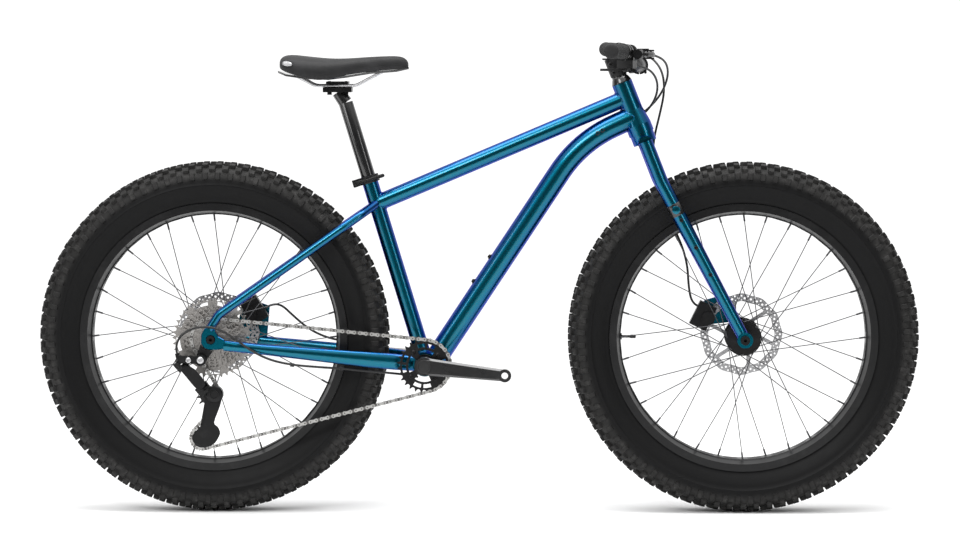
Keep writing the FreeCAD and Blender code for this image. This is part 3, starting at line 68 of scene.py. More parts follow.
class Signal:
    """A node's output whose arithmetic adds Math nodes to its tree."""

    def __init__(self, tree: bpy.types.NodeTree, socket: bpy.types.NodeSocket) -> None:
        """Holds the tree and the socket."""
        self.tree = tree
        self.socket = socket

    def _math(self, operation: str, first: "Signal | float", second: "Signal | float") -> "Signal":
        """Adds one Math node.

        Args:
            operation: the node's operation.
            first: its first value.
            second: its second value.

        Returns:
            The node's output.
        """
        node = self.tree.nodes.new("ShaderNodeMath")
        node.operation = operation
        for socket, value in zip(node.inputs, (first, second)):
            if isinstance(value, Signal):
                self.tree.links.new(value.socket, socket)
            else:
                socket.default_value = value
        return Signal(self.tree, node.outputs[0])

    def __add__(self, other: "Signal | float") -> "Signal":
        """The sum."""
        return self._math("ADD", self, other)

    def __radd__(self, other: float) -> "Signal":
        """The sum with a number on the left."""
        return self._math("ADD", other, self)

    def __rsub__(self, other: float) -> "Signal":
        """A number less this value."""
        return self._math("SUBTRACT", other, self)

    def __mul__(self, other: "Signal | float") -> "Signal":
        """The product."""
        return self._math("MULTIPLY", self, other)

    def larger(self, other: "Signal | float") -> "Signal":
        """The larger of the two."""
        return self._math("MAXIMUM", self, other)


Colour = tuple[float, float, float]


def rgba(colour: Colour) -> tuple[float, float, float, float]:
    """The colour with full opacity."""
    return (*colour, 1.0)


class Shade:
    """One material under construction: its tree and its surface shader."""

    def __init__(self, name: str) -> None:
        """Makes an empty node material with a surface shader.

        Args:
            name: the material's name.
        """
        self.material = bpy.data.materials.new(name)
        self.material.use_nodes = True
        self.tree = self.material.node_tree
        self.surface = next(n for n in self.tree.nodes if n.type == "BSDF_PRINCIPLED")

    def node(self, kind: str, settings: dict, output: int | str = 0, **sockets: object) -> Signal:
        """Adds any node.

        Args:
            kind: the node's type.
            settings: its properties, set first.
            output: which output is wanted.
            sockets: values or links by socket name, with underscores for spaces.

        Returns:
            The chosen output.
        """
        node = self.tree.nodes.new(kind)
        for key, value in settings.items():
            setattr(node, key, value)
        for key, value in sockets.items():
            self._feed(node.inputs[key.replace("_", " ")], value)
        return Signal(self.tree, node.outputs[output])

    def _feed(self, socket: bpy.types.NodeSocket, value: object) -> None:
        """Links a signal to a socket, or sets the socket's own value.

        Args:
            socket: the socket.
            value: a signal or a plain value.
        """
        if isinstance(value, Signal):
            self.tree.links.new(value.socket, socket)
        else:
            socket.default_value = value

    def feed(self, **sockets: object) -> None:
        """Sets or links sockets of the surface shader by name."""
        for key, value in sockets.items():
            self._feed(self.surface.inputs[key.replace("_", " ")], value)

    def place(self) -> Signal:
        """The piece's own coordinates."""
        return self.node("ShaderNodeTexCoord", {}, "Object")

    def noise(self, spot: Signal, scale: float, detail: float = 3.0, roughness: float = 0.55) -> Signal:
        """Cloudy noise between 0 and 1.

        Args:
            spot: where it is read.
            scale: its repeats in a metre.
            detail: its octaves.
            roughness: how strong the finer octaves are.

        Returns:
            The noise value.
        """
        return self.node("ShaderNodeTexNoise", {}, "Fac", Vector=spot, Scale=scale, Detail=detail,
                         Roughness=roughness)

    def cells(self, spot: Signal, scale: float, feature: str = "F1") -> Signal:
        """The distance pattern of scattered cells."""
        return self.node("ShaderNodeTexVoronoi", {"feature": feature}, "Distance", Vector=spot, Scale=scale)

    def step(self, value: Signal, low: float, high: float) -> Signal:
        """A smooth step from 0 at low to 1 at high."""
        return self.node("ShaderNodeMapRange", {"interpolation_type": "SMOOTHSTEP"}, "Result", Value=value,
                         From_Min=low, From_Max=high)

    def mix(self, share: Signal, first: Colour | Signal, second: Colour | Signal) -> Signal:
        """Two colours mixed by a share.

        Args:
            share: 0 gives the first and 1 the second.
            first: a colour or a link.
            second: a colour or a link.

        Returns:
            The mixed colour.
        """
        node = self.tree.nodes.new("ShaderNodeMix")
        node.data_type = "RGBA"
        self._feed(node.inputs[0], share)
        for socket, value in ((node.inputs[6], first), (node.inputs[7], second)):
            self._feed(socket, value if isinstance(value, Signal) else rgba(value))
        return Signal(self.tree, node.outputs[2])

    def relief(self, height: Signal, depth: float, strength: float = 1.0) -> None:
        """Feeds a bump of that depth in metres to the surface."""
        self.feed(Normal=self.node("ShaderNodeBump", {}, "Normal", Height=height, Distance=depth,
                                   Strength=strength))

    def radius(self, centre: Vector) -> Signal:
        """The distance from a wheel's axle line, in metres.

        Args:
            centre: the middle of the axle, on the bike's middle plane.

        Returns:
            The distance.
        """
        flat = self.node("ShaderNodeMapping", {"vector_type": "POINT"}, Vector=self.place(),
                         Scale=(1.0, 0.0, 1.0), Location=-centre)
        return self.node("ShaderNodeVectorMath", {"operation": "LENGTH"}, "Value", Vector=flat)


@dataclass(frozen=True)
class ShiftPaint:
    """Gloss metallic paint, green through blue by a painted colour flip with painted shade, violet at its
    edges.
    """

    name: str = "frame_paint"
    # Painted flip colours: the darker blue where faces turn up or down, the teal where they face sideways.
    rising_painted_flip: Colour = (0.0, 0.062, 0.240)
    facing: Colour = (0.0, 0.115, 0.175)
    flake_tint: Colour = (0.01, 0.24, 0.30)
    edge: Colour = (0.16, 0.14, 0.85)
    drift_scale: float = 7.0
    flake_scale: float = 2600.0
    ripple_scale: float = 420.0
    gloss: float = 0.26
    coat: float = 0.45

    def material(self) -> bpy.types.Material:
        """Makes the finish.

        Returns:
            The node material.
        """
        shade = Shade(self.name)
        spot = shade.place()
        drift = shade.noise(spot, self.drift_scale, 2.0)
        flake = shade.cells(spot, self.flake_scale)
        # Painted colour flip and shade: teal where faces turn sideways, darker blue where they turn up or
        # down.
        normal = shade.node("ShaderNodeTexCoord", {}, "Normal")
        facing = shade.node("ShaderNodeSeparateXYZ", {}, "Y", Vector=normal)
        turned = shade.step(facing * facing + drift * 0.2, 0.5, 1.08)
        colour = shade.mix(turned, self.rising_painted_flip, self.facing)
        sparkle = shade.mix(shade.step(flake, 0.15, 0.6) * 0.12, colour, self.flake_tint)
        shade.feed(Base_Color=sparkle, Metallic=1.0, Roughness=self.gloss + flake * 0.05,
                   Specular_Tint=rgba(self.edge), Coat_Weight=self.coat, Coat_Roughness=0.03, Coat_IOR=1.5)
        shade.relief(shade.noise(spot, self.ripple_scale, 2.0), 0.00004, 0.25)
        return shade.material


@dataclass(frozen=True)
class BlackMetal:
    """Black anodised or painted metal with fine grain and rubbed patches."""

    name: str
    base: Colour = (0.004, 0.004, 0.0044)
    rubbed: Colour = (0.011, 0.011, 0.0115)
    gloss: float = 0.30
    coat: float = 0.0
    metal: float = 0.45
    cloud_scale: float = 38.0
    grain_scale: float = 2200.0

    def material(self) -> bpy.types.Material:
        """Makes the finish.

        Returns:
            The node material.
        """
        shade = Shade(self.name)
        spot = shade.place()
        cloud = shade.noise(spot, self.cloud_scale, 5.0, 0.6)
        grain = shade.noise(spot, self.grain_scale, 2.0)
        colour = shade.mix(shade.step(cloud, 0.48, 0.8), self.base, self.rubbed)
        shade.feed(Base_Color=colour, Metallic=self.metal, Coat_Weight=self.coat, Coat_Roughness=0.06,
                   Roughness=self.gloss + cloud * 0.12 + grain * 0.06)
        shade.relief(grain, 0.00003, 0.35)
        return shade.material


@dataclass(frozen=True)
class BrightSteel:
    """Ground or plated steel with streaks and a trace of oil."""

    name: str
    base: Colour = (0.50, 0.50, 0.51)
    dark: Colour = (0.24, 0.235, 0.23)
    gloss: float = 0.27
    streak: Vector = spot_field(900.0, 60.0, 900.0)
    oil_scale: float = 95.0

    def material(self) -> bpy.types.Material:
        """Makes the finish.

        Returns:
            The node material.
        """
        shade = Shade(self.name)
        spot = shade.place()
        drawn = shade.node("ShaderNodeMapping", {"vector_type": "POINT"}, Vector=spot, Scale=self.streak)
        lines = shade.noise(drawn, 1.0, 4.0, 0.6)
        oil = shade.noise(spot, self.oil_scale, 4.0)
        colour = shade.mix(shade.step(oil, 0.45, 0.85) * 0.5, self.base, self.dark)
        shade.feed(Base_Color=colour, Metallic=1.0, Roughness=self.gloss + lines * 0.16 + oil * 0.08)
        shade.relief(lines, 0.00003, 0.3)
        return shade.material


@dataclass(frozen=True)
class TyreRubber:
    """Dark moulded rubber: a smooth ribbed sidewall and a dusty tread."""

    name: str
    axle: Vector
    wall: Colour = (0.0032, 0.0032, 0.0034)
    tread: Colour = (0.018, 0.0176, 0.0172)
    dust: Colour = (0.07, 0.068, 0.066)
    tread_starts: float = 0.336
    tread_full: float = 0.352
    cloud_scale: float = 55.0
    pore_scale: float = 1500.0
    rib_rate: float = 1250.0

    def material(self) -> bpy.types.Material:
        """Makes the finish.

        Returns:
            The node material.
        """
        shade = Shade(self.name)
        spot = shade.place()
        reach = shade.radius(self.axle)
        tread = shade.step(reach, self.tread_starts, self.tread_full)
        cloud = shade.noise(spot, self.cloud_scale, 5.0, 0.6)
        pore = shade.noise(spot, self.pore_scale, 3.0)
        rubber = shade.mix(tread, self.wall, self.tread)
        dusty = shade.mix(tread * shade.step(cloud, 0.46, 0.82) * 0.6, rubber, self.dust)
        rings = shade.node("ShaderNodeMath", {"operation": "SINE"}, Value=reach * self.rib_rate)
        ribs = rings * (1 - tread) * 0.18
        shade.feed(Base_Color=dusty, Roughness=0.42 + cloud * 0.14 + tread * 0.06, Specular_IOR_Level=0.15)
        shade.relief(pore + ribs, 0.00012, 0.5)
        return shade.material


@dataclass(frozen=True)
class Moulded:
    """Moulded plastic or rubber with a fine texture."""

    name: str
    base: Colour = (0.005, 0.005, 0.0054)
    worn: Colour = (0.013, 0.013, 0.0134)
    gloss: float = 0.5
    grain: float = 900.0
    depth: float = 0.00008
    coat: float = 0.0
    cloud_scale: float = 45.0

    def material(self) -> bpy.types.Material:
        """Makes the finish.

        Returns:
            The node material.
        """
        shade = Shade(self.name)
        spot = shade.place()
        cloud = shade.noise(spot, self.cloud_scale, 4.0)
        skin = shade.cells(spot, self.grain)
        shade.feed(Base_Color=shade.mix(shade.step(cloud, 0.45, 0.8), self.base, self.worn),
                   Roughness=self.gloss + cloud * 0.14, Coat_Weight=self.coat, Coat_Roughness=0.05)
        shade.relief(skin, self.depth, 0.5)
        return shade.material


@dataclass(frozen=True)
class SaddleSkin:
    """Matt synthetic leather: pebbled grain with paler rubbed crowns."""

    name: str = "saddle_skin"
    base: Colour = (0.007, 0.007, 0.0076)
    rubbed: Colour = (0.024, 0.024, 0.0255)
    pebble_scale: float = 620.0
    crease_scale: float = 260.0
    cloud_scale: float = 22.0

    def material(self) -> bpy.types.Material:
        """Makes the finish.

        Returns:
            The node material.
        """
        shade = Shade(self.name)
        spot = shade.place()
        pebble = shade.cells(spot, self.pebble_scale)
        crease = shade.cells(spot, self.crease_scale, "DISTANCE_TO_EDGE")
        cloud = shade.noise(spot, self.cloud_scale, 4.0)
        shade.feed(Base_Color=shade.mix(shade.step(cloud, 0.4, 0.8) * 0.8, self.base, self.rubbed),
                   Roughness=0.46 + pebble * 0.2 + cloud * 0.08, Specular_IOR_Level=0.4)
        shade.relief(pebble * 0.5 + shade.step(crease, 0.0, 0.12) * 0.5, 0.00018, 0.6)
        return shade.material


class Slot(Enum):
    """The record's material slots."""

    PAINT = "frame_paint"
    TYRE = "tyre_rubber"
    RIM = "rim_alloy"
    ALLOY = "black_alloy"
    ROTOR = "rotor_steel"
    SPROCKET = "sprocket_steel"
    CHAIN = "chain_steel"
    SKIN = "saddle_skin"
    SHELL = "saddle_shell"
    GRIP = "grip_rubber"
    HOSE = "hose_jacket"


class Shaper:
    """A mesh under construction, in millimetres."""

    def __init__(self) -> None:
        """Starts an empty mesh."""
        self.bm = bmesh.new()

    def outline(self, points: Iterable[Vector], closed: bool = False) -> list:
        """Adds a chain of edges.

        Args:
            points: its corners in order.
            closed: whether the last corner joins the first.

        Returns:
            The new vertices and edges.
        """
        verts = [self.bm.verts.new(point) for point in points]
        pairs = list(zip(verts, verts[1:]))
        if closed:
            pairs.append((verts[-1], verts[0]))
        return verts + [self.bm.edges.new(pair) for pair in pairs]

    def lathe(self, profile: Sequence[tuple[float, float]], centre: Vector, axis: Vector, steps: int,
              closed: bool = False) -> None:
        """Turns a profile about an axis.

        Args:
            profile: radius and height along the axis, for each corner.
            centre: where the height is 0.
            axis: the turning axis.
            steps: segments in the full turn.
            closed: whether the profile is a loop.
        """
        along = axis.normalized()
        side = along.orthogonal().normalized()
        points = [centre + along * height + side * radius for radius, height in profile]
        bmesh.ops.spin(self.bm, geom=self.outline(points, closed), cent=centre, axis=along, dvec=(0, 0, 0),
                       angle=2 * math.pi, steps=steps, use_merge=True, use_normal_flip=False,
                       use_duplicate=False)

    def block(self, matrix: Matrix, size: Vector, taper: float, bevel: float) -> None:
        """Adds a box with a narrowed top and softened edges.

        Args:
            matrix: its place, with the box standing on local Z = 0.
            size: its three sides.
            taper: the top's share of the foot.
            bevel: the width taken off its edges.
        """
        verts = bmesh.ops.create_cube(self.bm, size=1.0)["verts"]
        for vert in verts:
            share = taper if vert.co.z > 0 else 1.0
            vert.co.x *= size.x * share
            vert.co.y *= size.y * share
            vert.co.z = (vert.co.z + 0.5) * size.z
        bmesh.ops.transform(self.bm, matrix=matrix, verts=verts)
        edges = list({edge for vert in verts for edge in vert.link_edges})
        bmesh.ops.bevel(self.bm, geom=edges, offset=bevel, affect="EDGES", segments=1, profile=0.5,
                        material=-1)

    def ring_copies(self, centre: Vector, axis: Vector, count: int) -> None:
        """Repeats everything so far round an axis.

        Args:
            centre: a point of the axis.
            axis: its direction.
            count: how many there are in the end.
        """
        geom = list(self.bm.verts) + list(self.bm.edges) + list(self.bm.faces)
        bmesh.ops.spin(self.bm, geom=geom, cent=centre, axis=axis, dvec=(0, 0, 0),
                       angle=2 * math.pi * (count - 1) / count, steps=count - 1, use_merge=False,
                       use_normal_flip=False, use_duplicate=True)

    def absorb(self, mesh: bpy.types.Mesh, matrix: Matrix) -> None:
        """Adds a finished mesh.

        Args:
            mesh: the mesh, in millimetres.
            matrix: its place.
        """
        before = len(self.bm.verts)
        self.bm.from_mesh(mesh)
        self.bm.verts.ensure_lookup_table()
        bmesh.ops.transform(self.bm, matrix=matrix, verts=self.bm.verts[before:])

    def mesh(self, name: str, smooth: bool = True, merge: float = 0.001,
             scale: float = 1.0) -> bpy.types.Mesh:
        """Closes the mesh, points its faces outward and hands it over.

        Args:
            name: the mesh's name.
            smooth: whether its faces are shaded round.
            merge: doubles nearer than this are joined, in millimetres.
            scale: the factor on its sizes.

        Returns:
            The mesh.
        """
        if merge > 0:
            bmesh.ops.remove_doubles(self.bm, verts=self.bm.verts, dist=merge)
        bmesh.ops.recalc_face_normals(self.bm, faces=self.bm.faces)
        for face in self.bm.faces:
            face.smooth = smooth
        bmesh.ops.scale(self.bm, vec=(scale, scale, scale), verts=self.bm.verts)
        made = bpy.data.meshes.new(name)
        self.bm.to_mesh(made)
        self.bm.free()
        return made


def mount(mesh: bpy.types.Mesh, body: str | None, finish: bpy.types.Material,
          replaced: Sequence[str] = (), crease: float | None = 35.0) -> bpy.types.Object:
    """Turns a mesh in metres into a piece of the bike.

    Args:
        mesh: the shape, named for the piece.
        body: the body that it rides on, or None to leave it unattached.
        finish: its material.
        replaced: solids that it stands for.
        crease: edges sharper than this many degrees stay crisp, or None.

    Returns:
        The piece.
    """
    piece = bpy.data.objects.new(mesh.name, mesh)
    bpy.context.scene.collection.objects.link(piece)
    mesh.materials.append(finish)
    if crease is not None:
        mesh.set_sharp_from_angle(angle=math.radians(crease))
    if body is not None:
        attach(piece, body)
    if replaced:
        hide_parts(*replaced)
    LOG.info("%s: %d faces", mesh.name, len(mesh.polygons))
    return piece


def curve_mesh(curve: bpy.types.Curve) -> bpy.types.Mesh:
    """Turns a curve into a mesh of the same name and removes the curve.

    Args:
        curve: the curve, with its width and fill set.

    Returns:
        The mesh.
    """
    name = curve.name
    holder = bpy.data.objects.new(name, curve)
    bpy.context.scene.collection.objects.link(holder)
    bpy.context.view_layer.update()
    made = bpy.data.meshes.new_from_object(holder.evaluated_get(bpy.context.evaluated_depsgraph_get()))
    made.name = name
    bpy.data.objects.remove(holder)
    bpy.data.curves.remove(curve)
    return made


def flat_mesh(name: str, loops: Sequence[Sequence[Vector]], thickness: float, bevel: float) -> bpy.types.Mesh:
    """A plate cut from a filled outline, in millimetres, on the XY plane.

    Args:
        name: the mesh's name.
        loops: the outer outline and any holes, each a closed list of points.
        thickness: the plate's gauge.
        bevel: the width of its broken edges.

    Returns:
        The mesh.
    """
    curve = bpy.data.curves.new(name, "CURVE")
    curve.dimensions = "2D"
    curve.fill_mode = "BOTH"
    curve.extrude = thickness / 2 - bevel
    curve.bevel_depth = bevel
    curve.bevel_resolution = 0
    curve.offset = -bevel
    for loop in loops:
        spline = curve.splines.new("POLY")
        spline.points.add(len(loop) - 1)
        for point, spot in zip(spline.points, loop):
            point.co = (spot.x, spot.y, 0.0, 1.0)
        spline.use_cyclic_u = True
    return curve_mesh(curve)


def polar(radius: float, turn: float) -> Vector:
    """A point on the XY plane by its radius and angle."""
    return Vector((math.cos(turn), math.sin(turn), 0)) * radius


def circle(centre: Vector, radius: float, count: int) -> list[Vector]:
    """The corners of a round hole or edge on the XY plane."""
    return [centre + polar(radius, 2 * math.pi * index / count) for index in range(count)]


def round_axle(radius: float, turn: float) -> Vector:
    """A step away from an axle in the bike's side view, by its length and angle."""
    return Vector((math.cos(turn), 0, math.sin(turn))) * radius


def wheel_plane(centre: Vector) -> Matrix:
    """The placement that sends the XY plane to the bike's side view, at a centre."""
    return Matrix.Translation(centre) @ Matrix.Rotation(math.radians(90), 4, "X")


@dataclass(frozen=True)
class Layout:
    """Where the bike's main points are, in millimetres."""

    rear_axle: Vector = spot_field(-575, 0, 381)
    front_axle: Vector = spot_field(575, 0, 381)
    crank: Vector = spot_field(-115.647, 0, 323)
    head_bottom: Vector = spot_field(353.743, 0, 822.640)
    head_up: Vector = spot_field(-0.366501, 0, 0.930418)
    seat_top: Vector = spot_field(-240.197, 0, 730.386)
    seat_up: Vector = spot_field(-0.292372, 0, 0.956305)
    bar_end: Vector = spot_field(280.983, -370, 1002.769)
    bar_inward: Vector = spot_field(0.22161, 0.97509, -0.00886)
    fork_bend: Vector = spot_field(393.69, -88, 721.22)
    fork_leg: Vector = spot_field(0.4703, 0, -0.8825)
    down_slope: float = 24.7
    down_run: float = 131.0
    chain_line: float = -77.0

    @property
    def down_head(self) -> Vector:
        """Where the down tube's line leaves the head tube."""
        return self.head_bottom + self.head_up * 40

    @property
    def down_line(self) -> Vector:
        """The direction of the down tube's upper run, away from the head."""
        slope = math.radians(self.down_slope)
        return Vector((-math.cos(slope), 0, -math.sin(slope)))

    @property
    def down_foot(self) -> Vector:
        """Where the down tube's lower run ends, ahead of the crank."""
        return self.crank + Vector((17, 0, 0))

    @property
    def down_rise(self) -> Vector:
        """The direction of the down tube's lower run, away from the crank."""
        return (self.down_head + self.down_line * self.down_run - self.down_foot).normalized()


PLAN = Layout()


def side_spot(point: Vector, side: int) -> Vector:
    """A point of the right side, or its mirror on the left."""
    return Vector((point.x, point.y if side == RIGHT else -point.y, point.z))


@dataclass(frozen=True)
class Panel:
    """One soft lamp: where it hangs, what it faces, its two sides and its watts."""

    name: str
    place: tuple
    aim: tuple
    size: tuple
    power: float


def face(thing: bpy.types.Object, place: Vector, aim: Vector) -> None:
    """Puts a lamp or the camera in the scene.

    Args:
        thing: the lamp or camera.
        place: where it stands.
        aim: the point that it looks at.
    """
    thing.location = place
    thing.rotation_euler = (aim - place).to_track_quat("-Z", "Y").to_euler()
    bpy.context.scene.collection.objects.link(thing)


@dataclass
class Studio:
    """The pale floor, the soft lights and the camera."""

    eye: Vector = spot_field(0.16, -7.7, 1.05)
    aim: Vector = spot_field(0.003, 0.0, 0.533)
    lens: float = 133.0
    floor_half: float = 2.6
    panels: tuple = (
        Panel("top_panel", (0, -0.5, 4.0), (0, -0.1, 0), (4.0, 1.6), 120.0),
        Panel("key_panel", (-1.6, -3.0, 3.0), (0, 0, 0.5), (1.6, 0.9), 46.0),
        Panel("front_panel", (3.0, -3.0, 1.6), (0.2, 0, 0.5), (0.6, 2.2), 22.0),
        Panel("side_panel", (-3.2, -2.4, 1.4), (-0.2, 0, 0.5), (0.6, 2.2), 20.0),
    )

    def build(self) -> None:
        """Makes everything around the bike."""
        self._floor()
        self._world()
        for panel in self.panels:
            self._lamp(panel)
        self._camera()

    def _floor(self) -> None:
        """A plain pale floor under the tyres."""
        shaper = Shaper()
        bmesh.ops.create_grid(shaper.bm, x_segments=8, y_segments=8, size=self.floor_half)
        mesh = shaper.mesh("floor", smooth=False, merge=0.0)
        floor = bpy.data.objects.new("floor", mesh)
        bpy.context.scene.collection.objects.link(floor)
        shade = Shade("floor_paper")
        cloud = shade.noise(shade.place(), 1.2, 2.0)
        shade.feed(Base_Color=shade.mix(cloud, (0.86, 0.86, 0.86), (0.90, 0.90, 0.90)), Roughness=0.95,
                   Specular_IOR_Level=0.05)
        mesh.materials.append(shade.material)

    @staticmethod
    def _world() -> None:
        """A white surround that lights the bike from above and behind, and dimly from the front."""
        world = bpy.data.worlds.new("surround")
        world.use_nodes = True
        tree = world.node_tree
        back = next(n for n in tree.nodes if n.type == "BACKGROUND")
        back.inputs["Color"].default_value = (1.0, 1.0, 1.0, 1.0)
        spot = tree.nodes.new("ShaderNodeTexCoord")
        parts = tree.nodes.new("ShaderNodeSeparateXYZ")
        tree.links.new(spot.outputs["Generated"], parts.inputs[0])
        levels = []
        for axis, low, high, dim, bright in (("Y", -0.1, 0.6, 0.10, 1.15), ("Z", 0.3, 0.75, 0.10, 1.35)):
            level = tree.nodes.new("ShaderNodeMapRange")
            level.interpolation_type = "SMOOTHSTEP"
            for name, value in zip(("From Min", "From Max", "To Min", "To Max"), (low, high, dim, bright)):
                level.inputs[name].default_value = value
            tree.links.new(parts.outputs[axis], level.inputs["Value"])
            levels.append(Signal(tree, level.outputs["Result"]))
        seen = Signal(tree, tree.nodes.new("ShaderNodeLightPath").outputs["Is Camera Ray"])
        tree.links.new(levels[0].larger(levels[1]).larger(seen).socket, back.inputs["Strength"])
        bpy.context.scene.world = world
        bpy.context.scene.view_settings.view_transform = "Standard"

    @staticmethod
    def _lamp(panel: Panel) -> None:
        """Hangs one soft panel.

        Args:
            panel: its place, size and power.
        """
        lamp = bpy.data.lights.new(panel.name, "AREA")
        lamp.shape = "RECTANGLE"
        lamp.size, lamp.size_y = panel.size
        lamp.energy = panel.power
        face(bpy.data.objects.new(panel.name, lamp), Vector(panel.place), Vector(panel.aim))

    def _camera(self) -> None:
        """The camera at the photograph's viewing angle."""
        lens = bpy.data.cameras.new("camera")
        lens.lens = self.lens
        lens.sensor_width = 36.0
        camera = bpy.data.objects.new("camera", lens)
        face(camera, self.eye, self.aim)
        bpy.context.scene.camera = camera


@dataclass(frozen=True)
class KnobRow:
    """One row of tread blocks, on both sides of the tyre's middle."""

    offset: float
    radius: float
    tilt: float
    size: Vector
    leading_side: int


KNOB_ROWS = (
    KnobRow(10.08, 372.2, 0, Vector((15.4, 13.4, 8.7)), LEFT),
    KnobRow(28.0, 369.4, 17, Vector((15.0, 15.1, 8.5)), RIGHT),
    KnobRow(43.4, 363.7, 42, Vector((14.0, 13.4, 7.9)), LEFT),
    KnobRow(51.24, 350.0, 74, Vector((12.5, 19.0, 5.0)), RIGHT),
)


@dataclass
class FatWheel:
    """A fat tyre with its tread, the rim's openings, the valve and the brake rotor."""

    end: str
    axle: Vector
    rotor_y: float
    valve_turn: float
    pitches: int = 80
    stagger: float = 0.43
    sink: float = 1.5
    knob_taper: float = 0.8
    knob_edge: float = 0.8
    openings: int = 32
    tape_radius: float = 265.3
    valve_radius: float = 265.6
    rotor_arms: int = 6
    rotor_waves: int = 12
    casing: tuple = ((281, 36.8), (292, 36.8), (300, 41.8), (311, 48.4), (322, 52.8), (329.6, 54.7),
                     (330.6, 55.9), (332, 55.9), (333, 55.2), (342, 55.3), (351, 53.2), (359, 49.2),
                     (365, 42.5), (369, 32.5), (371.6, 20), (372.6, 7))
    lining: tuple = ((281, 31.8), (293, 31.8), (303, 37.4), (315, 44.0), (328, 48.6), (342, 50.0),
                     (352, 46.6), (360, 37.0), (364.5, 25), (366.5, 9))

    def build(self, kit: "Finishes") -> None:
        """Makes and mounts the wheel's pieces.

        Args:
            kit: the finishes.
        """
        self._tyre(kit)
        self._tread(kit)
        self._openings(kit)
        self._valve(kit)
        self._rotor(kit)

    @property
    def body(self) -> str:
        """The body that the wheel's pieces ride on."""
        return self.end + "_wheel"

    def _tyre(self, kit: "Finishes") -> None:
        """The casing, a closed wall from bead to bead.

        Args:
            kit: the finishes.
        """
        outer = [(radius, -y) for radius, y in self.casing] + list(self.casing)[::-1]
        inner = list(self.lining) + [(radius, -y) for radius, y in self.lining][::-1]
        shaper = Shaper()
        shaper.lathe(outer + inner, self.axle, AXLE_LINE, 144, closed=True)
        mount(shaper.mesh(self.end + "_tyre_casing", scale=MM), self.body, kit.tyre[self.end],
              [self.end + "_tire"], crease=50.0)

    def _tread(self, kit: "Finishes") -> None:
        """The tread blocks: one pitch of them, repeated round the tyre.

        Args:
            kit: the finishes.
        """
        shaper = Shaper()
        pitch = 2 * math.pi / self.pitches
        for row in KNOB_ROWS:
            for side in (LEFT, RIGHT):
                tilt = math.radians(row.tilt) * side
                stand = Matrix.Translation(Vector((0, side * row.offset, row.radius)))
                turn = Matrix.Rotation(self.stagger * pitch if side == row.leading_side else 0.0, 4, "Y")
                sunk = Matrix.Rotation(-tilt, 4, "X") @ Matrix.Translation(Vector((0, 0, -self.sink)))
                block = row.size + Vector((0, 0, self.sink))
                place = Matrix.Translation(self.axle) @ turn @ stand @ sunk
                shaper.block(place, block, self.knob_taper, self.knob_edge)
        shaper.ring_copies(self.axle, AXLE_LINE, self.pitches)
        mount(shaper.mesh(self.end + "_tread_blocks", smooth=False, merge=0.0, scale=MM), self.body,
              kit.tyre[self.end], crease=None)

    def _openings(self, kit: "Finishes") -> None:
        """The pale rim tape that shows through the openings in the rim's bed.

        Args:
            kit: the finishes.
        """
        shaper = Shaper()
        turn = Matrix.Rotation(math.pi / self.openings, 4, "Y")
        lift = Matrix.Translation(Vector((0, 0, self.tape_radius)))
        shaper.block(Matrix.Translation(self.axle) @ turn @ lift, Vector((30, 20, 0.6)), 1.0, 0.25)
        shaper.ring_copies(self.axle, AXLE_LINE, self.openings)
        mount(shaper.mesh(self.end + "_rim_tape", smooth=False, merge=0.0, scale=MM), self.body, kit.tape)

    def _valve(self, kit: "Finishes") -> None:
        """The valve: a threaded stem with its nut and cap.

        Args:
            kit: the finishes.
        """
        inward = Vector((-math.cos(self.valve_turn), 0, -math.sin(self.valve_turn)))
        foot = self.axle - inward * self.valve_radius
        profile = [(0, 0), (7, 0), (7, 2.2), (3.1, 2.6), (3.1, 6)]
        for thread in range(9):
            profile += [(3.1, 6 + thread * 1.6), (2.7, 6.8 + thread * 1.6)]
        profile += [(3.6, 21), (3.9, 22), (3.9, 31), (2.6, 33), (0, 33)]
        shaper = Shaper()
        shaper.lathe(profile, foot, inward, 20)
        mount(shaper.mesh(self.end + "_valve", scale=MM), self.body, kit.rubber)

    def _rotor(self, kit: "Finishes") -> None:
        """The brake rotor: a wavy drilled track on swept arms, and its six bolts.

        Args:
            kit: the finishes.
        """
        spot = self.axle + AXLE_LINE * self.rotor_y
        shaper = Shaper()
        shaper.absorb(flat_mesh("rotor_plate", self._rotor_loops(), 1.8, 0.12), wheel_plane(spot))
        mount(shaper.mesh(self.end + "_brake_rotor", smooth=False, scale=MM), self.body, kit.rotor,
              [self.end + "_rotor"], crease=None)
        bolts = Shaper()
        head = [(0, 0), (4.4, 0), (4.4, 1.2), (3.4, 2.6), (1.9, 2.7), (1.7, 1.2), (0, 1.2)]
        for index in range(self.rotor_arms):
            foot = spot + round_axle(22, 2 * math.pi * index / self.rotor_arms) + AXLE_LINE * 0.8
            bolts.lathe(head, foot, AXLE_LINE, 14)
        mount(bolts.mesh(self.end + "_rotor_bolts", scale=MM), self.body, kit.black)

    def _rotor_loops(self) -> list[list[Vector]]:
        """The rotor's outline: the wavy rim, the bore, the gaps between the arms and the drilled holes.

        Returns:
            The closed loops, in millimetres.
        """
        def wavy(radius: float, depth: float, turn: float) -> Vector:
            """A point on one of the track's two wavy edges."""
            return polar(radius + depth * math.cos(self.rotor_waves * turn), turn)

        loops = [[wavy(88.6, 1.3, 2 * math.pi * index / 180) for index in range(180)],
                 circle(Vector((0, 0, 0)), 15.2, 32)]
        for index in range(self.rotor_arms):
            arm = 2 * math.pi * index / self.rotor_arms
            outer = [wavy(71.5, 1.2, arm + math.radians(-13.4 + 53.0 * step / 14)) for step in range(15)]
            inner = [polar(29, arm + math.radians(51 - 42 * step / 8)) for step in range(9)]
            loops.append(outer + inner)
        for index in range(36):
            for radius, hole, lead in ((84.4, 2.1, 0.0), (79.4, 2.5, 0.5), (75.2, 1.3, 0.0)):
                loops.append(circle(polar(radius, 2 * math.pi * (index + lead) / 36), hole, 10))
        return loops


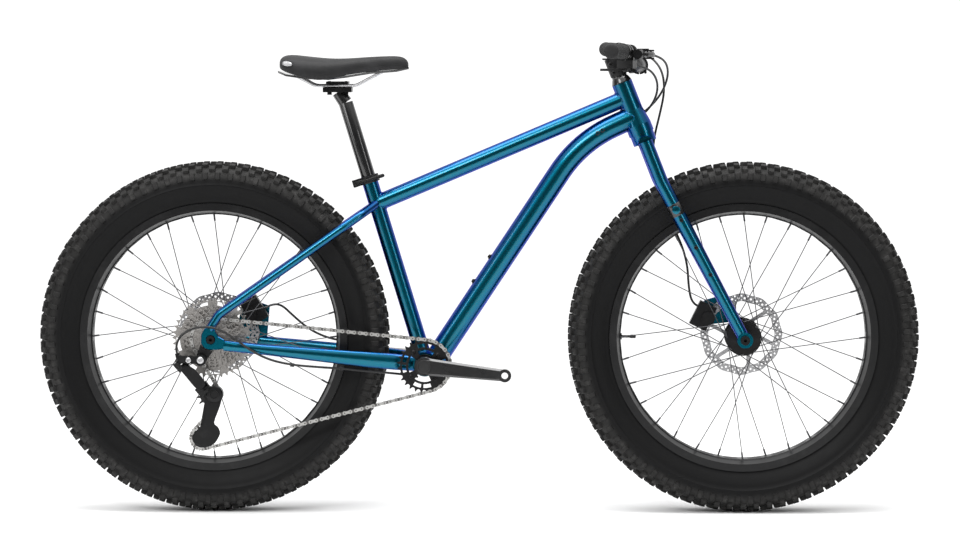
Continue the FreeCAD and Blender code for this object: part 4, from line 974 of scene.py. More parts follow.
@dataclass
class Chain:
    """A roller chain of inner and outer links on the rollers of the fixed frame."""

    pitch: float = 12.7
    plate: float = 0.85
    inner_gap: float = 1.3

    def rollers(self) -> list[Vector]:
        """Finds the rollers of the construction's chain.

        Returns:
            Their centres in order along the chain, in millimetres.
        """
        bm = bmesh.new()
        bm.from_mesh(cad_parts["chain"].data)
        bmesh.ops.remove_doubles(bm, verts=bm.verts, dist=1e-6)
        loose = set(bm.verts)
        spots = []
        while loose:
            group = [loose.pop()]
            for vert in group:
                near = [edge.other_vert(vert) for edge in vert.link_edges if edge.other_vert(vert) in loose]
                loose.difference_update(near)
                group.extend(near)
            lows = [min(vert.co[axis] for vert in group) for axis in range(3)]
            highs = [max(vert.co[axis] for vert in group) for axis in range(3)]
            if highs[0] - lows[0] < self.pitch * MM:
                spots.append((Vector(lows) + Vector(highs)) / 2 / MM)
        bm.free()
        ordered = [spots.pop()]
        while spots:
            nearest = min(spots, key=lambda spot: (spot - ordered[-1]).length)
            spots.remove(nearest)
            ordered.append(nearest)
        return ordered

    def _link_plate(self, waist: float) -> bpy.types.Mesh:
        """One waisted side plate, its length on X and its thickness on Z.

        Args:
            waist: the middle's share of the full height.

        Returns:
            The plate.
        """
        shaper = Shaper()
        half_step = Matrix.Rotation(math.pi / 16, 4, "Z")
        made = bmesh.ops.create_circle(shaper.bm, cap_ends=True, segments=16, radius=4.2, matrix=half_step)
        for vert in made["verts"]:
            vert.co.x += math.copysign(self.pitch / 2, vert.co.x)
        long_edges = [edge for edge in shaper.bm.edges if edge.calc_length() > self.pitch * 0.8]
        cut = bmesh.ops.subdivide_edges(shaper.bm, edges=long_edges, cuts=1)
        for item in cut["geom_inner"]:
            if isinstance(item, bmesh.types.BMVert):
                item.co.y *= waist
        made = bmesh.ops.extrude_face_region(shaper.bm, geom=list(shaper.bm.faces))
        top = [item for item in made["geom"] if isinstance(item, bmesh.types.BMVert)]
        bmesh.ops.translate(shaper.bm, vec=(0, 0, self.plate), verts=top)
        return shaper.mesh("link_plate", smooth=False)

    def build(self, kit: "Finishes") -> None:
        """Makes and mounts the chain.

        Args:
            kit: the finishes.
        """
        spots = self.rollers()
        plates = {True: self._link_plate(0.66), False: self._link_plate(0.72)}
        outer_links = Shaper()
        inner_links = Shaper()
        for index, spot in enumerate(spots):
            follower = spots[(index + 1) % len(spots)]
            along = (follower - spot).normalized()
            outer = index % 2 == 0
            shaper = outer_links if outer else inner_links
            gap = self.inner_gap + (self.plate + 0.05 if outer else 0.0)
            for side in (LEFT, RIGHT):
                normal = AXLE_LINE * side
                across = normal.cross(along)
                turn = Matrix((along, across, normal)).transposed().to_4x4()
                middle = (spot + follower) / 2 + normal * gap
                shaper.absorb(plates[outer], Matrix.Translation(middle) @ turn)
            reach = self.inner_gap + 2 * self.plate + 0.25
            inner_links.lathe([(0, -reach), (1.7, -reach), (1.7, -self.inner_gap), (3.85, -self.inner_gap),
                               (3.85, self.inner_gap), (1.7, self.inner_gap), (1.7, reach), (0, reach)],
                              spot, AXLE_LINE, 10)
        mount(outer_links.mesh("chain_outer_links", smooth=False, merge=0.0, scale=MM), "frame", kit.chain,
              ["chain"], crease=None)
        mount(inner_links.mesh("chain_inner_links", smooth=False, merge=0.0, scale=MM), "frame",
              kit.chain_dark, crease=None)


@dataclass(frozen=True)
class SaddleStation:
    """One cross-section of the saddle: its place, half width, crown, skirt and underside heights."""

    x: float
    half: float
    top: float
    skirt: float
    under: float


SADDLE_STATIONS = (
    SaddleStation(-431, 38, 980, 966, 966), SaddleStation(-425, 54, 989, 960, 961),
    SaddleStation(-411, 66, 994.5, 953.5, 955), SaddleStation(-384, 72, 991.5, 944, 948),
    SaddleStation(-352, 72, 988, 935.5, 945.5), SaddleStation(-326, 65, 985.6, 937, 944.5),
    SaddleStation(-300, 53, 985, 945, 947), SaddleStation(-270, 41.5, 986.4, 953.5, 951.5),
    SaddleStation(-240, 32.5, 988.6, 958.5, 956), SaddleStation(-210, 26.5, 990, 961, 959),
    SaddleStation(-180, 23, 991, 961.5, 961), SaddleStation(-164, 20.5, 988.6, 960.5, 962),
    SaddleStation(-155, 15.5, 982, 962.5, 964), SaddleStation(-152, 8.5, 974.5, 967, 967.5),
)


@dataclass
class Saddle:
    """The padded saddle top with its gloss rear skirt and the two oval studs."""

    channel: float = 3.0
    stud: Vector = spot_field(-411, -66.5, 974)

    def _ring(self, station: SaddleStation) -> list[Vector]:
        """The closed outline of one cross-section.

        Args:
            station: its sizes.

        Returns:
            The corners in turn.
        """
        x, half = station.x, station.half
        dip = self.channel * min(1.0, half / 40)
        rises = ((0.90, 0.0), (0.975, 0.14), (1.0, 0.40), (0.955, 0.64), (0.83, 0.84), (0.60, 0.965),
                 (0.32, 1.0))
        marks = [(0.40, station.under), (0.78, station.under)]
        marks += [(share, station.skirt + rise * (station.top - station.skirt)) for share, rise in rises]
        marks.append((0.12, station.top - dip * 0.6))
        right = [Vector((x, -share * half, z)) for share, z in marks]
        left = [Vector((x, share * half, z)) for share, z in reversed(marks)]
        return [Vector((x, 0, station.under))] + right + [Vector((x, 0, station.top - dip))] + left

    def build(self, kit: "Finishes") -> None:
        """Makes and mounts the saddle's soft pieces.

        Args:
            kit: the finishes.
        """
        shaper = Shaper()
        rings = []
        for station in SADDLE_STATIONS:
            made = shaper.outline(self._ring(station), closed=True)
            rings.append([item for item in made if isinstance(item, bmesh.types.BMEdge)])
        for first, second in zip(rings, rings[1:]):
            bmesh.ops.bridge_loops(shaper.bm, edges=first + second)
        bmesh.ops.contextual_create(shaper.bm, geom=rings[0])
        bmesh.ops.contextual_create(shaper.bm, geom=rings[-1])
        piece = mount(shaper.mesh("saddle_padded_top", scale=MM), "seatpost", kit.skin,
                      ["saddle_cover"], crease=None)
        smooth = piece.modifiers.new("rounded", "SUBSURF")
        smooth.levels = smooth.render_levels = 2
        for side in (RIGHT, LEFT):
            self._stud(kit, side)

    def _stud(self, kit: "Finishes", side: int) -> None:
        """A plain bright oval on the rear skirt.

        Args:
            kit: the finishes.
            side: which side of the saddle.
        """
        shaper = Shaper()
        outward = Vector((-0.36, side * 0.93, 0.05)).normalized()
        dome = [(0, 1.2), (0.6, 1.15), (0.9, 0.8), (1.0, 0.0), (0, 0)]
        shaper.lathe(dome, Vector((0, 0, 0)), Vector((0, 0, 1)), 28)
        bmesh.ops.scale(shaper.bm, vec=(12.0, 5.2, 1.0), verts=shaper.bm.verts)
        along = (Vector((1, 0, -0.14)) - outward * outward.x).normalized()
        across = outward.cross(along)
        turn = Matrix((along, across, outward)).transposed().to_4x4()
        place = Matrix.Translation(side_spot(self.stud, side)) @ turn
        bmesh.ops.transform(shaper.bm, matrix=place, verts=shaper.bm.verts)
        mount(shaper.mesh("saddle_stud_" + SIDE_NAMES[side], scale=MM), "seatpost", kit.rail)


@dataclass
class Grips:
    """Ribbed rubber grips with a closed outer end and an inner clamp ring."""

    length: float = 117.0
    radius: float = 15.2
    rib_pitch: float = 3.2

    def build(self, kit: "Finishes") -> None:
        """Makes and mounts both grips.

        Args:
            kit: the finishes.
        """
        rubber = Shaper()
        rings = Shaper()
        for side in (RIGHT, LEFT):
            inward = side_spot(PLAN.bar_inward, side)
            end = side_spot(PLAN.bar_end, side)
            rubber.lathe(self._profile(), end, inward, 40)
            start = self.length + 0.3
            band = ((11.3, 0), (16.2, 0), (16.9, 0.8), (16.9, 9.6), (16.2, 10.6), (11.3, 10.6))
            rings.lathe([(radius, start + reach) for radius, reach in band], end, inward, 40, closed=True)
        mount(rubber.mesh("bar_grips", scale=MM), "fork", kit.grip, ["grips"], crease=40.0)
        mount(rings.mesh("grip_clamp_rings", scale=MM), "fork", kit.black)

    def _profile(self) -> list[tuple[float, float]]:
        """One grip's side view: the closed end, the ribs and the inner edge.

        Returns:
            The radius and the distance from the bar's end, for each corner.
        """
        profile = [(0, -3.6), (9, -3.6), (13.4, -2.8), (15.4, -1.0), (16.2, 2.0), (16.2, 5.0), (15.0, 6.0)]
        place = 8.0
        while place < self.length - 6:
            swell = self.radius + 0.5 * math.sin(math.pi * place / self.length)
            profile += [(swell + rise, place + reach)
                        for rise, reach in ((-0.7, 0.0), (0.3, 0.6), (0.3, 2.0), (-0.7, 2.6))]
            place += self.rib_pitch
        return profile + [(self.radius, self.length - 3), (self.radius, self.length), (11.2, self.length)]


@dataclass(frozen=True)
class HoseRoute:
    """One hose or housing: its name, its way in millimetres, and what holds its ends."""

    name: str
    points: tuple
    bodies: tuple
    replaced: tuple = ()


def by_bar(inward: float, ahead: float, upward: float) -> tuple:
    """A point near the right grip.

    Args:
        inward: the distance along the bar from its end.
        ahead: the distance in front of the bar.
        upward: the distance above the bar.

    Returns:
        The point.
    """
    along = Vector((0.97513, -0.2216, 0.002))
    up = Vector((0.0, 0.0091, 0.99996))
    return tuple(PLAN.bar_end + PLAN.bar_inward * inward + along * ahead + up * upward)


def flipped(point: tuple) -> tuple:
    """The same point on the left side."""
    return (point[0], -point[1], point[2])


HOSE_ROUTES = (
    HoseRoute("front_hose", (
        flipped(by_bar(204.3, 26, -6)), flipped(by_bar(220.3, 26, -6)), (382, 122, 984), (402, 96, 955),
        (406, 88, 912), (396, 102, 862), (384, 114, 812), (380, 117, 760), (388, 113, 706),
        (406, 104, 656), (428, 93, 612), (446, 82, 572), (457, 72, 530), (459, 64, 486),
        (465.8, 59, 449.8), (478.4, 59, 443.7)),
        ("fork",), ("front_brake_hose",)),
    HoseRoute("rear_hose_loop", (
        by_bar(204.3, 26, -6), by_bar(220.3, 26, -6), (383, -122, 992), (404, -82, 978), (410, -42, 952),
        (402, -4, 920), (382, 28, 888), (350, 44, 860), (312, 48, 842), (280, 46, 831),
        (258, 38, 824), (258, 24.8, 824)),
        ("frame", "fork"), ("rear_hose_and_housing",)),
    HoseRoute("shift_housing_loop", (
        by_bar(205.3, -4, -27), by_bar(219.3, -4, -27), (346, -128, 970), (372, -90, 960), (387, -48, 936),
        (386, -8, 904), (368, 24, 872), (334, 44, 844), (294, 48, 822), (262, 46, 810),
        (242, 38, 806), (242, 24.8, 806)),
        ("frame", "fork")),
    HoseRoute("rear_hose_run", (
        (-473.8, 82.5, 434.8), (-462, 82.5, 442.2), (-438, 88, 444), (-410, 94, 416), (-374, 92, 386),
        (-332, 86, 368), (-290, 80, 362), (-262, 75, 359)), ("frame",)),
    HoseRoute("shift_housing_run", (
        (-648, -101.3, 351.6), (-651.4, -101.3, 365.2), (-640, -108, 392), (-606, -116, 410),
        (-566, -118, 410), (-528, -117, 390), (-492, -113, 361), (-450, -105, 338), (-400, -95, 326),
        (-346, -88, 321), (-294, -80, 317), (-244, -72, 311), (-196, -58, 306), (-156, -38, 300),
        (-132, -24, 294)), ("frame",)),
)


@dataclass
class Hoses:
    """The brake hoses and shift housings, each a smooth tube held at both ends."""

    radius: float = 2.5

    def build(self, kit: "Finishes") -> None:
        """Makes and mounts every hose.

        Args:
            kit: the finishes.
        """
        for route in HOSE_ROUTES:
            mesh = self._tube(route)
            blended = len(route.bodies) > 1
            body = None if blended else route.bodies[0]
            piece = mount(mesh, body, kit.hose, route.replaced, crease=None)
            if blended:
                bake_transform(piece)

    def _tube(self, route: HoseRoute) -> bpy.types.Mesh:
        """A round tube along a smooth curve through a route.

        Args:
            route: its name and points.

        Returns:
            The tube.
        """
        curve = bpy.data.curves.new(route.name, "CURVE")
        curve.dimensions = "3D"
        curve.bevel_depth = self.radius * MM
        curve.bevel_resolution = 3
        curve.use_fill_caps = True
        curve.resolution_u = 8
        spline = curve.splines.new("NURBS")
        spline.points.add(len(route.points) - 1)
        for point, spot in zip(spline.points, route.points):
            point.co = (*(value * MM for value in spot), 1.0)
        spline.order_u = 3
        spline.use_endpoint_u = True
        return curve_mesh(curve)


@dataclass(frozen=True)
class Tube:
    """A straight tube's centre line and radius, for finding where it meets another."""

    base: Vector
    along: Vector
    radius: float


@dataclass
class FrameTrim:
    """Weld beads, bottle and fork bolts, cable ports and clips on the painted frame and fork."""

    bead: float = 1.7
    ripple: float = 0.82

    def build(self, kit: "Finishes") -> None:
        """Makes and mounts the trim.

        Args:
            kit: the finishes.
        """
        self._welds(kit)
        self._bolts(kit)
        self._ports(kit)
        self._bands(kit)
        self._clips(kit)

    def _meeting(self, branch: Tube, main: Tube, count: int = 96) -> list[Vector]:
        """The line on which a branch tube's skin meets the main tube's skin.

        Args:
            branch: the tube that ends, with its direction away from the main tube.
            main: the tube that it ends on.
            count: points round the branch.

        Returns:
            The closed line's points.
        """
        side = branch.along.cross(main.along).normalized()
        other = branch.along.cross(side).normalized()
        points = []
        for index in range(count):
            turn = 2 * math.pi * index / count
            start = branch.base + (side * math.cos(turn) + other * math.sin(turn)) * branch.radius - main.base
            flat_start = start - main.along * start.dot(main.along)
            flat_along = branch.along - main.along * branch.along.dot(main.along)
            square = flat_along.length_squared
            half = flat_start.dot(flat_along) / square
            rest = (flat_start.length_squared - main.radius ** 2) / square
            reach = -half + math.sqrt(max(half * half - rest, 0.0))
            points.append(main.base + start + branch.along * reach)
        return points

    def _welds(self, kit: "Finishes") -> None:
        """Rippled beads where the frame's tubes meet.

        Args:
            kit: the finishes.
        """
        head = Tube(PLAN.head_bottom, PLAN.head_up, 22.6)
        head_low = Tube(PLAN.head_bottom, PLAN.head_up, 24.6)
        seat = Tube(PLAN.crank, PLAN.seat_up, 17.5)
        shell = Tube(PLAN.crank, AXLE_LINE, 26.0)
        top_head = PLAN.head_bottom + PLAN.head_up * 84
        top_seat = PLAN.seat_top - PLAN.seat_up * 63
        top_line = (top_seat - top_head).normalized()
        joints = ((Tube(top_head, top_line, 18.0), head), (Tube(top_seat, -top_line, 18.0), seat),
                  (Tube(PLAN.down_head, PLAN.down_line, 24.5), head_low),
                  (Tube(PLAN.down_foot, PLAN.down_rise, 24.5), shell), (seat, shell))
        curve = bpy.data.curves.new("frame_weld_beads", "CURVE")
        curve.dimensions = "3D"
        curve.bevel_depth = self.bead * MM
        curve.bevel_resolution = 2
        for branch, main in joints:
            points = self._meeting(branch, main)
            spline = curve.splines.new("POLY")
            spline.points.add(len(points) - 1)
            for index, (point, spot) in enumerate(zip(spline.points, points)):
                point.co = (*(spot * MM), 1.0)
                point.radius = 1.0 if index % 2 else self.ripple
            spline.use_cyclic_u = True
        mount(curve_mesh(curve), "frame", kit.paint, crease=None)

    @staticmethod
    def bolt(shaper: Shaper, foot: Vector, outward: Vector, radius: float, height: float) -> None:
        """Adds a domed bolt head with a socket.

        Args:
            shaper: the mesh that it goes into.
            foot: the middle of its seat.
            outward: the way that it faces.
            radius: its radius.
            height: its height.
        """
        shares = ((0, 0), (1, 0), (1, 0.45), (0.82, 0.85), (0.55, 1), (0.5, 0.45), (0, 0.4))
        shaper.lathe([(radius * across, height * up) for across, up in shares], foot, outward, 18)

    def _bolts(self, kit: "Finishes") -> None:
        """Bottle bolts on the down tube and the fork legs.

        Args:
            kit: the finishes.
        """
        frame_bolts = Shaper()
        along = PLAN.down_rise
        outward = Vector((-along.z, 0, along.x))
        for reach in (197.0, 261.0):
            spot = PLAN.down_foot + along * reach + outward * 24.2
            frame_bolts.lathe([(0, 0), (6.2, 0), (6.2, 1.4), (5.4, 1.8), (0, 1.8)], spot, outward, 20)
            self.bolt(frame_bolts, spot + outward * 1.6, outward, 4.4, 3.6)
        mount(frame_bolts.mesh("bottle_bolts", scale=MM), "frame", kit.black)
        fork_bolts = Shaper()
        for side in (RIGHT, LEFT):
            for reach in (92.0, 159.0, 225.0):
                radius = 15.5 - 3.0 * max(0.0, reach - 96.4) / 289.1
                centre = PLAN.fork_bend + PLAN.fork_leg * reach
                spot = side_spot(centre - AXLE_LINE * (radius - 0.4), side)
                self.bolt(fork_bolts, spot, AXLE_LINE * side, 4.6, 3.0)
        mount(fork_bolts.mesh("fork_boss_bolts", scale=MM), "fork", kit.black)

    def _ports(self, kit: "Finishes") -> None:
        """Rubber grommets in the down tube's cable ports, on both sides.

        Args:
            kit: the finishes.
        """
        shaper = Shaper()
        for x, z in ((258, 824), (268.5, 830)):
            shaper.lathe([(4.6, 0), (4.6, 0.9), (3.9, 1.3), (3.0, 1.0), (2.7, -2.0), (0, -2.2)],
                         Vector((x, -24.3, z)), -AXLE_LINE, 20)
        for x, z in ((258, 824), (242, 806)):
            shaper.lathe([(5.4, 0), (5.4, 1.0), (4.2, 2.2), (2.6, 4.5)], Vector((x, 24.2, z)), AXLE_LINE, 20)
        mount(shaper.mesh("cable_port_grommets", scale=MM), "frame", kit.rubber)

    def _bands(self, kit: "Finishes") -> None:
        """The dark band with a plain disc round each fork leg.

        Args:
            kit: the finishes.
        """
        bands = Shaper()
        discs = Shaper()
        for side in (RIGHT, LEFT):
            start = side_spot(PLAN.fork_bend, side) + PLAN.fork_leg * 54
            bands.lathe([(15.55, 0), (15.75, 0.4), (15.75, 26.6), (15.55, 27)], start, PLAN.fork_leg, 48)
            spot = side_spot(PLAN.fork_bend + PLAN.fork_leg * 67.5 - AXLE_LINE * 15.6, side)
            disc = [(0, 0.7), (8.2, 0.55), (8.8, 0.2), (8.8, -1.6), (0, -1.6)]
            discs.lathe(disc, spot, AXLE_LINE * side, 32)
        mount(bands.mesh("fork_leg_bands", scale=MM), "fork", kit.gloss)
        mount(discs.mesh("fork_leg_discs", scale=MM), "fork", kit.paint)

    def _clips(self, kit: "Finishes") -> None:
        """The clips that hold the housing under the right chainstay.

        Args:
            kit: the finishes.
        """
        shaper = Shaper()
        ring = [(2.5, -4), (4.0, -4), (4.0, 4), (2.5, 4)]
        for spot, along in (((-400, -95, 326), (50, 10, -8)), ((-294, -80, 317), (51, 8, -5))):
            shaper.lathe(ring, Vector(spot), Vector(along).normalized(), 20, closed=True)
        mount(shaper.mesh("housing_clips", scale=MM), "frame", kit.rubber)


@dataclass
class CockpitBolts:
    """The bolts of the stem, its faceplate and its top cap."""

    bar: Vector = spot_field(346.99, 0, 970.77)
    stem_line: Vector = spot_field(0.99738, 0, 0.07238)
    stem_up: Vector = spot_field(-0.07238, 0, 0.99738)
    stem_foot: Vector = spot_field(304.156, 0, 948.525)

    def build(self, kit: "Finishes") -> None:
        """Makes and mounts the bolts.

        Args:
            kit: the finishes.
        """
        shaper = Shaper()
        for side in (RIGHT, LEFT):
            for lift in (-15.5, 15.5):
                spot = self.bar + self.stem_line * 11.6 + self.stem_up * lift + AXLE_LINE * (side * 18)
                FrameTrim.bolt(shaper, spot, self.stem_line, 4.2, 4.0)
        ahead = AXLE_LINE.cross(PLAN.head_up)
        for reach in (10.0, 30.0):
            spot = self.stem_foot + PLAN.head_up * reach - ahead * 9 - AXLE_LINE * 15.4
            FrameTrim.bolt(shaper, spot, -AXLE_LINE, 4.2, 4.0)
        FrameTrim.bolt(shaper, self.stem_foot + PLAN.head_up * 44, PLAN.head_up, 5.0, 2.6)
        mount(shaper.mesh("stem_bolts", scale=MM), "fork", kit.black)


def pitch_radius(teeth: int) -> float:
    """The radius of the chain's rollers round a toothed ring."""
    return Chain.pitch / 2 / math.sin(math.pi / teeth)


def toothed_edge(teeth: int, phase: float) -> list[Vector]:
    """The edge of a toothed ring with a roller's seat at an angle.

    Args:
        teeth: the number of teeth.
        phase: the angle of a seat, in radians.

    Returns:
        The corners in turn.
    """
    marks = ((-4.05, -0.30), (-1.0, -0.17), (2.4, -0.06), (2.4, 0.06), (-1.0, 0.17), (-4.05, 0.30))
    pitch, reach = 2 * math.pi / teeth, pitch_radius(teeth)
    return [polar(reach + rise, phase + (index + 0.5 + share) * pitch)
            for index in range(teeth) for rise, share in marks]


def arc_window(inner: float, outer: float, middle: float, half: float) -> list[Vector]:
    """An opening between two radii.

    Args:
        inner: the smaller radius.
        outer: the larger radius.
        middle: the angle of its middle, in radians.
        half: half of its angle.

    Returns:
        The corners in turn.
    """
    turns = [middle + half * share for share in (-1, -0.6, -0.2, 0.2, 0.6, 1)]
    return [polar(outer, turn) for turn in turns] + [polar(inner, turn) for turn in reversed(turns)]


@dataclass
class Cassette:
    """Ten toothed rings on the freehub, the larger ones with openings."""

    teeth: tuple = (42, 34, 30, 27, 24, 22, 18, 15, 13, 11)
    working: int = 22
    phase: float = 2.61463
    step: float = 4.0
    bore: float = 17.2
    pierced_from: int = 24
    openings: int = 9

    def _loops(self, count: int) -> list[list[Vector]]:
        """The toothed edge, the bore and the openings of one ring.

        Args:
            count: its teeth.

        Returns:
            The closed loops, in millimetres.
        """
        reach = pitch_radius(count)
        loops = [toothed_edge(count, self.phase), circle(Vector((0, 0, 0)), self.bore, 40)]
        if count < self.pierced_from:
            return loops
        inner, outer = max(24.0, reach - 13.5), reach - 6.0
        share = 2 * math.pi / self.openings
        for index in range(self.openings):
            loops.append(arc_window(inner, outer, self.phase + share * index, 0.3 * share))
        for index in range(2 * self.openings):
            loops.append(circle(polar((inner + 20) / 2, share * index / 2), 2.1, 10))
        return loops

    def build(self, kit: "Finishes") -> None:
        """Makes and mounts the rings and their carrier.

        Args:
            kit: the finishes.
        """
        rings = Shaper()
        place = self.teeth.index(self.working)
        for index, count in enumerate(self.teeth):
            spot = PLAN.rear_axle + AXLE_LINE * (PLAN.chain_line - (index - place) * self.step)
            rings.absorb(flat_mesh("ring_plate", self._loops(count), 1.8, 0.15), wheel_plane(spot))
        mount(rings.mesh("cassette_rings", smooth=False, scale=MM), "cassette", kit.sprocket,
              ["cassette"], crease=None)
        carrier = Shaper()
        foot = PLAN.rear_axle + AXLE_LINE * (PLAN.chain_line + place * self.step + 3)
        depth = len(self.teeth) * self.step + 1
        wall = [(14.5, 0), (17, 0), (17, depth - 1), (16, depth), (14.5, depth)]
        carrier.lathe(wall, foot, -AXLE_LINE, 40, closed=True)
        mount(carrier.mesh("cassette_carrier", scale=MM), "cassette", kit.black)


@dataclass
class Chainring:
    """The toothed ring with four arms and the windows between them."""

    teeth: int = 28
    phase: float = -0.0075
    bore: float = 17.1
    arms: int = 4
    gap: float = -6.0
    windows: tuple = ((0.37, 0.617, 0, 30), (0.706, 0.847, -14, 10.5), (0.706, 0.847, 14, 10.5))

    def build(self, kit: "Finishes") -> None:
        """Makes and mounts the ring.

        Args:
            kit: the finishes.
        """
        reach = pitch_radius(self.teeth)
        loops = [toothed_edge(self.teeth, self.phase), circle(Vector((0, 0, 0)), self.bore, 40)]
        for arm in range(self.arms):
            for inner, outer, turn, half in self.windows:
                middle = math.radians(self.gap + 360 * arm / self.arms + turn)
                loops.append(arc_window(inner * reach, outer * reach, middle, math.radians(half)))
        ring = Shaper()
        spot = PLAN.crank + AXLE_LINE * PLAN.chain_line
        ring.absorb(flat_mesh("chainring_plate", loops, 2.0, 0.2), wheel_plane(spot))
        mount(ring.mesh("chainring_arms", smooth=False, scale=MM), "crank", kit.black,
              ["chainring"], crease=None)


@dataclass
class Dropouts:
    """The plates that join each pair of stays round the rear axle."""

    outline: tuple = ((-589, 404), (-595, 392), (-596, 374), (-590, 364), (-580, 359.5), (-566, 359),
                      (-546, 361.5), (-540, 371), (-546, 381), (-559, 388), (-566, 402), (-577, 410))
    stance: float = 102.0
    gauge: float = 7.0
    axle_hole: float = 9.3

    def build(self, kit: "Finishes") -> None:
        """Makes and mounts both plates.

        Args:
            kit: the finishes.
        """
        corners = [Vector((x, z, 0)) for x, z in self.outline]
        hole = circle(Vector((PLAN.rear_axle.x, PLAN.rear_axle.z, 0)), self.axle_hole, 24)
        for side in (RIGHT, LEFT):
            shaper = Shaper()
            plate = flat_mesh("dropout_plate", [corners, hole], self.gauge, 1.0)
            shaper.absorb(plate, wheel_plane(AXLE_LINE * (self.stance * side)))
            mount(shaper.mesh("dropout_" + SIDE_NAMES[side], smooth=False, scale=MM), "frame", kit.paint,
                  crease=None)


@dataclass
class DriveTrim:
    """Bolts, caps and cover plates of the crank and the derailleur."""

    link_cover: tuple = ((-641, 319), (-629, 327), (-609, 320), (-587, 294), (-588, 280), (-597, 273),
                         (-607, 277))
    cage_cover: tuple = ((-591, 268), (-580, 277), (-562, 276), (-551, 264), (-556, 238), (-572, 198),
                         (-561, 190), (-556, 176), (-568, 154), (-590, 144), (-617, 159), (-619, 168),
                         (-604, 189), (-592, 197), (-588, 230))
    link_bolts: tuple = (((-596, -119.6, 338), 7.4), ((-622, -119.1, 338), 6.0))
    case_foot: Vector = spot_field(-567, -88, 263)
    case: tuple = ((0, 0), (16.5, 0), (18.5, 2), (18.5, 20), (16, 23.5), (9, 24.5), (8.6, 23), (0, 23))
    cap: tuple = ((0, 0), (15.5, 0), (15.5, 3.6), (14.6, 4.6), (12.6, 4.6), (11.8, 3.4), (0, 3.4))
    cap_y: float = -97.0
    ring_bolt_turn: float = 39.0
    ring_bolt_radius: float = 37.5

    def build(self, kit: "Finishes") -> None:
        """Makes and mounts the trim.

        Args:
            kit: the finishes.
        """
        self._plate(kit, "derailleur_link_cover", self.link_cover, -116.5, "derailleur_outer_link")
        self._plate(kit, "derailleur_cage_cover", self.cage_cover, -85.2, "derailleur_cage")
        bright = Shaper()
        for spot, size in self.link_bolts:
            FrameTrim.bolt(bright, Vector(spot), -AXLE_LINE, size, 3.2)
        mount(bright.mesh("derailleur_bolts", scale=MM), "frame", kit.rail)
        barrel = Shaper()
        barrel.lathe(self.case, self.case_foot, -AXLE_LINE, 40)
        mount(barrel.mesh("derailleur_spring_case", scale=MM), "derailleur_body", kit.black)
        cap = Shaper()
        cap.lathe(self.cap, PLAN.crank + AXLE_LINE * self.cap_y, -AXLE_LINE, 40)
        mount(cap.mesh("crank_cap", scale=MM), "crank", kit.rubber)
        bolts = Shaper()
        for index in range(4):
            step = round_axle(self.ring_bolt_radius, math.radians(self.ring_bolt_turn + 90 * index))
            spot = PLAN.crank + step + AXLE_LINE * (PLAN.chain_line - 0.8)
            FrameTrim.bolt(bolts, spot, -AXLE_LINE, 5.0, 3.0)
        mount(bolts.mesh("chainring_bolts", scale=MM), "crank", kit.black)

    @staticmethod
    def _plate(kit: "Finishes", name: str, points: tuple, y: float, body: str) -> None:
        """A cover plate with a rounded outline on a moving piece.

        Args:
            kit: the finishes.
            name: the plate's name.
            points: its corners in the side view.
            y: where its middle lies across the bike.
            body: the body that it rides on.
        """
        corners = [Vector((x, z, 0)) for x, z in points]
        soft = []
        for before, corner, after in zip(corners[-1:] + corners, corners, corners[1:] + corners[:1]):
            start, end = corner.lerp(before, 0.3), corner.lerp(after, 0.3)
            soft += [start, corner.lerp(start.lerp(end, 0.5), 0.5), end]
        shaper = Shaper()
        shaper.absorb(flat_mesh(name + "_plate", [soft], 2.4, 0.5), wheel_plane(AXLE_LINE * y))
        mount(shaper.mesh(name, smooth=False, scale=MM), body, kit.black, crease=None)


def finish_field(kind: type, *sizes: object, **settings: object) -> bpy.types.Material:
    """A dataclass field that holds the material of a finish."""
    return field(default_factory=lambda: kind(*sizes, **settings).material())


@dataclass
class Finishes:
    """Every material of the bicycle, made once."""

    paint: bpy.types.Material = finish_field(ShiftPaint)
    black: bpy.types.Material = finish_field(BlackMetal, "black_alloy")
    gloss: bpy.types.Material = finish_field(BlackMetal, "gloss_black", gloss=0.2, coat=0.9, metal=0.1)
    rim: bpy.types.Material = finish_field(BlackMetal, "rim_alloy", gloss=0.3, metal=0.3)
    spoke: bpy.types.Material = finish_field(
        BrightSteel, "spoke_steel", (0.10, 0.10, 0.105), (0.05, 0.05, 0.052), 0.3)
    rail: bpy.types.Material = finish_field(BrightSteel, "rail_steel", (0.56, 0.56, 0.57))
    bearing: bpy.types.Material = finish_field(BrightSteel, "bearing_steel")
    rotor: bpy.types.Material = finish_field(BrightSteel, "rotor_steel", (0.47, 0.47, 0.48))
    sprocket: bpy.types.Material = finish_field(
        BrightSteel, "sprocket_steel", (0.36, 0.345, 0.33), (0.20, 0.19, 0.18), 0.34)
    chain: bpy.types.Material = finish_field(
        BrightSteel, "chain_steel", (0.50, 0.495, 0.48), (0.26, 0.255, 0.25), 0.3)
    chain_dark: bpy.types.Material = finish_field(
        BrightSteel, "chain_dark_steel", (0.16, 0.155, 0.15), (0.08, 0.08, 0.078), 0.36)
    skin: bpy.types.Material = finish_field(SaddleSkin)
    grip: bpy.types.Material = finish_field(Moulded, "grip_rubber", gloss=0.62, depth=0.0002)
    plastic: bpy.types.Material = finish_field(Moulded, "shifter_plastic", gloss=0.42)
    hose: bpy.types.Material = finish_field(Moulded, "hose_jacket", gloss=0.36, depth=0.00003)
    rubber: bpy.types.Material = finish_field(Moulded, "trim_rubber", gloss=0.55)
    tape: bpy.types.Material = finish_field(
        Moulded, "rim_tape", (0.025, 0.025, 0.026), (0.05, 0.05, 0.05), 0.5)
    tyre: dict = field(default_factory=lambda: {
        "front": TyreRubber("front_tyre_rubber", PLAN.front_axle * MM).material(),
        "rear": TyreRubber("rear_tyre_rubber", PLAN.rear_axle * MM).material()})


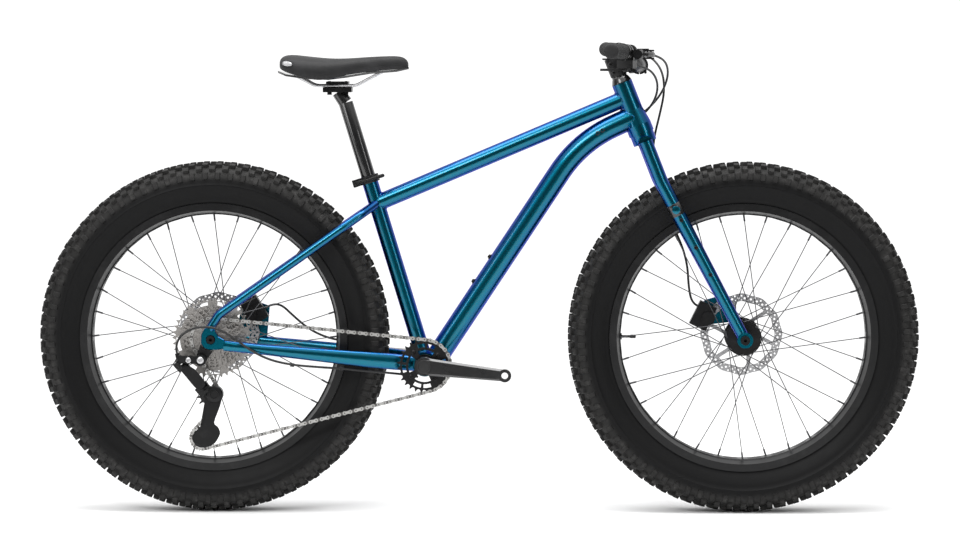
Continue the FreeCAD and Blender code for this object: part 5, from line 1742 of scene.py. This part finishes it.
@dataclass(frozen=True)
class Coat:
    """A finish and the construction pieces that wear it, with the size of their broken edges."""

    finish: str
    edge: float
    nodes: tuple


COATS = (
    Coat("paint", 0.0, (
        "head_tube", "top_tube", "down_tube", "seat_tube", "bottom_bracket_shell", "chainstays", "seatstays",
        "fork_crown", "fork_leg_right", "fork_leg_left")),
    Coat("gloss", 0.35, ("headset_cover", "seatpost", "saddle_base", "crank_arm_right", "crank_arm_left")),
    Coat("black", 0.3, (
        "derailleur_hanger", "derailleur_knuckle", "bottom_bracket_cups", "seat_clamp", "rear_brake_caliper",
        "rear_axle", "seat_clamp_lever", "saddle_clamp", "stem", "stem_faceplate", "handlebar",
        "brake_lever_body_right", "brake_lever_body_left", "front_brake_caliper", "front_axle",
        "brake_blade_right", "brake_blade_left", "front_hub", "rear_hub", "derailleur_outer_link",
        "derailleur_inner_link", "derailleur_body", "derailleur_cage")),
    Coat("plastic", 0.4, (
        "shifter_body", "shift_paddle", "release_paddle", "guide_pulley", "tension_pulley")),
    Coat("rim", 0.0, ("front_rim", "rear_rim")),
    Coat("spoke", 0.0, ("front_spokes", "rear_spokes")),
    Coat("bearing", 0.0, ("headset_bearings",)),
    Coat("rail", 0.0, ("saddle_rails",)),
)


@dataclass
class Dressing:
    """The finishes of the construction pieces that stay in sight."""

    smooth_angle: float = 32.0

    def build(self, kit: Finishes) -> None:
        """Gives every such piece its finish and its broken edges.

        Args:
            kit: the finishes.
        """
        for coat in COATS:
            for name in coat.nodes:
                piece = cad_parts[name]
                piece.data.materials.clear()
                piece.data.materials.append(getattr(kit, coat.finish))
                if coat.edge:
                    self._soften(piece, coat.edge)

    def _soften(self, piece: bpy.types.Object, width: float) -> None:
        """Joins a piece's triangles and rounds its sharp edges.

        Args:
            piece: the construction piece.
            width: the width of the rounding, in millimetres.
        """
        joined = piece.modifiers.new("joined", "WELD")
        joined.merge_threshold = 0.00001
        rounded = piece.modifiers.new("broken_edges", "BEVEL")
        rounded.width = width * MM
        rounded.segments = 2
        rounded.limit_method = "ANGLE"
        rounded.angle_limit = math.radians(self.smooth_angle)
        rounded.harden_normals = True


def write_sizes() -> None:
    """Brings the view layer up to date."""
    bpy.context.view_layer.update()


def main() -> None:
    """Builds the bicycle's pieces in order, then the studio."""
    kit = Finishes()
    wheels = (FatWheel("front", PLAN.front_axle, 61.0, math.pi),
              FatWheel("rear", PLAN.rear_axle, 84.5, math.radians(-7)))
    steps = (*wheels, Chain(), Cassette(), Chainring(), Saddle(), Grips(), Hoses(), FrameTrim(),
             CockpitBolts(), Dropouts(), DriveTrim(), Dressing())
    for step in steps:
        step.build(kit)
        LOG.info("built %s", type(step).__name__)
    Studio().build()
    write_sizes()


if __name__ == "__main__":
    main()
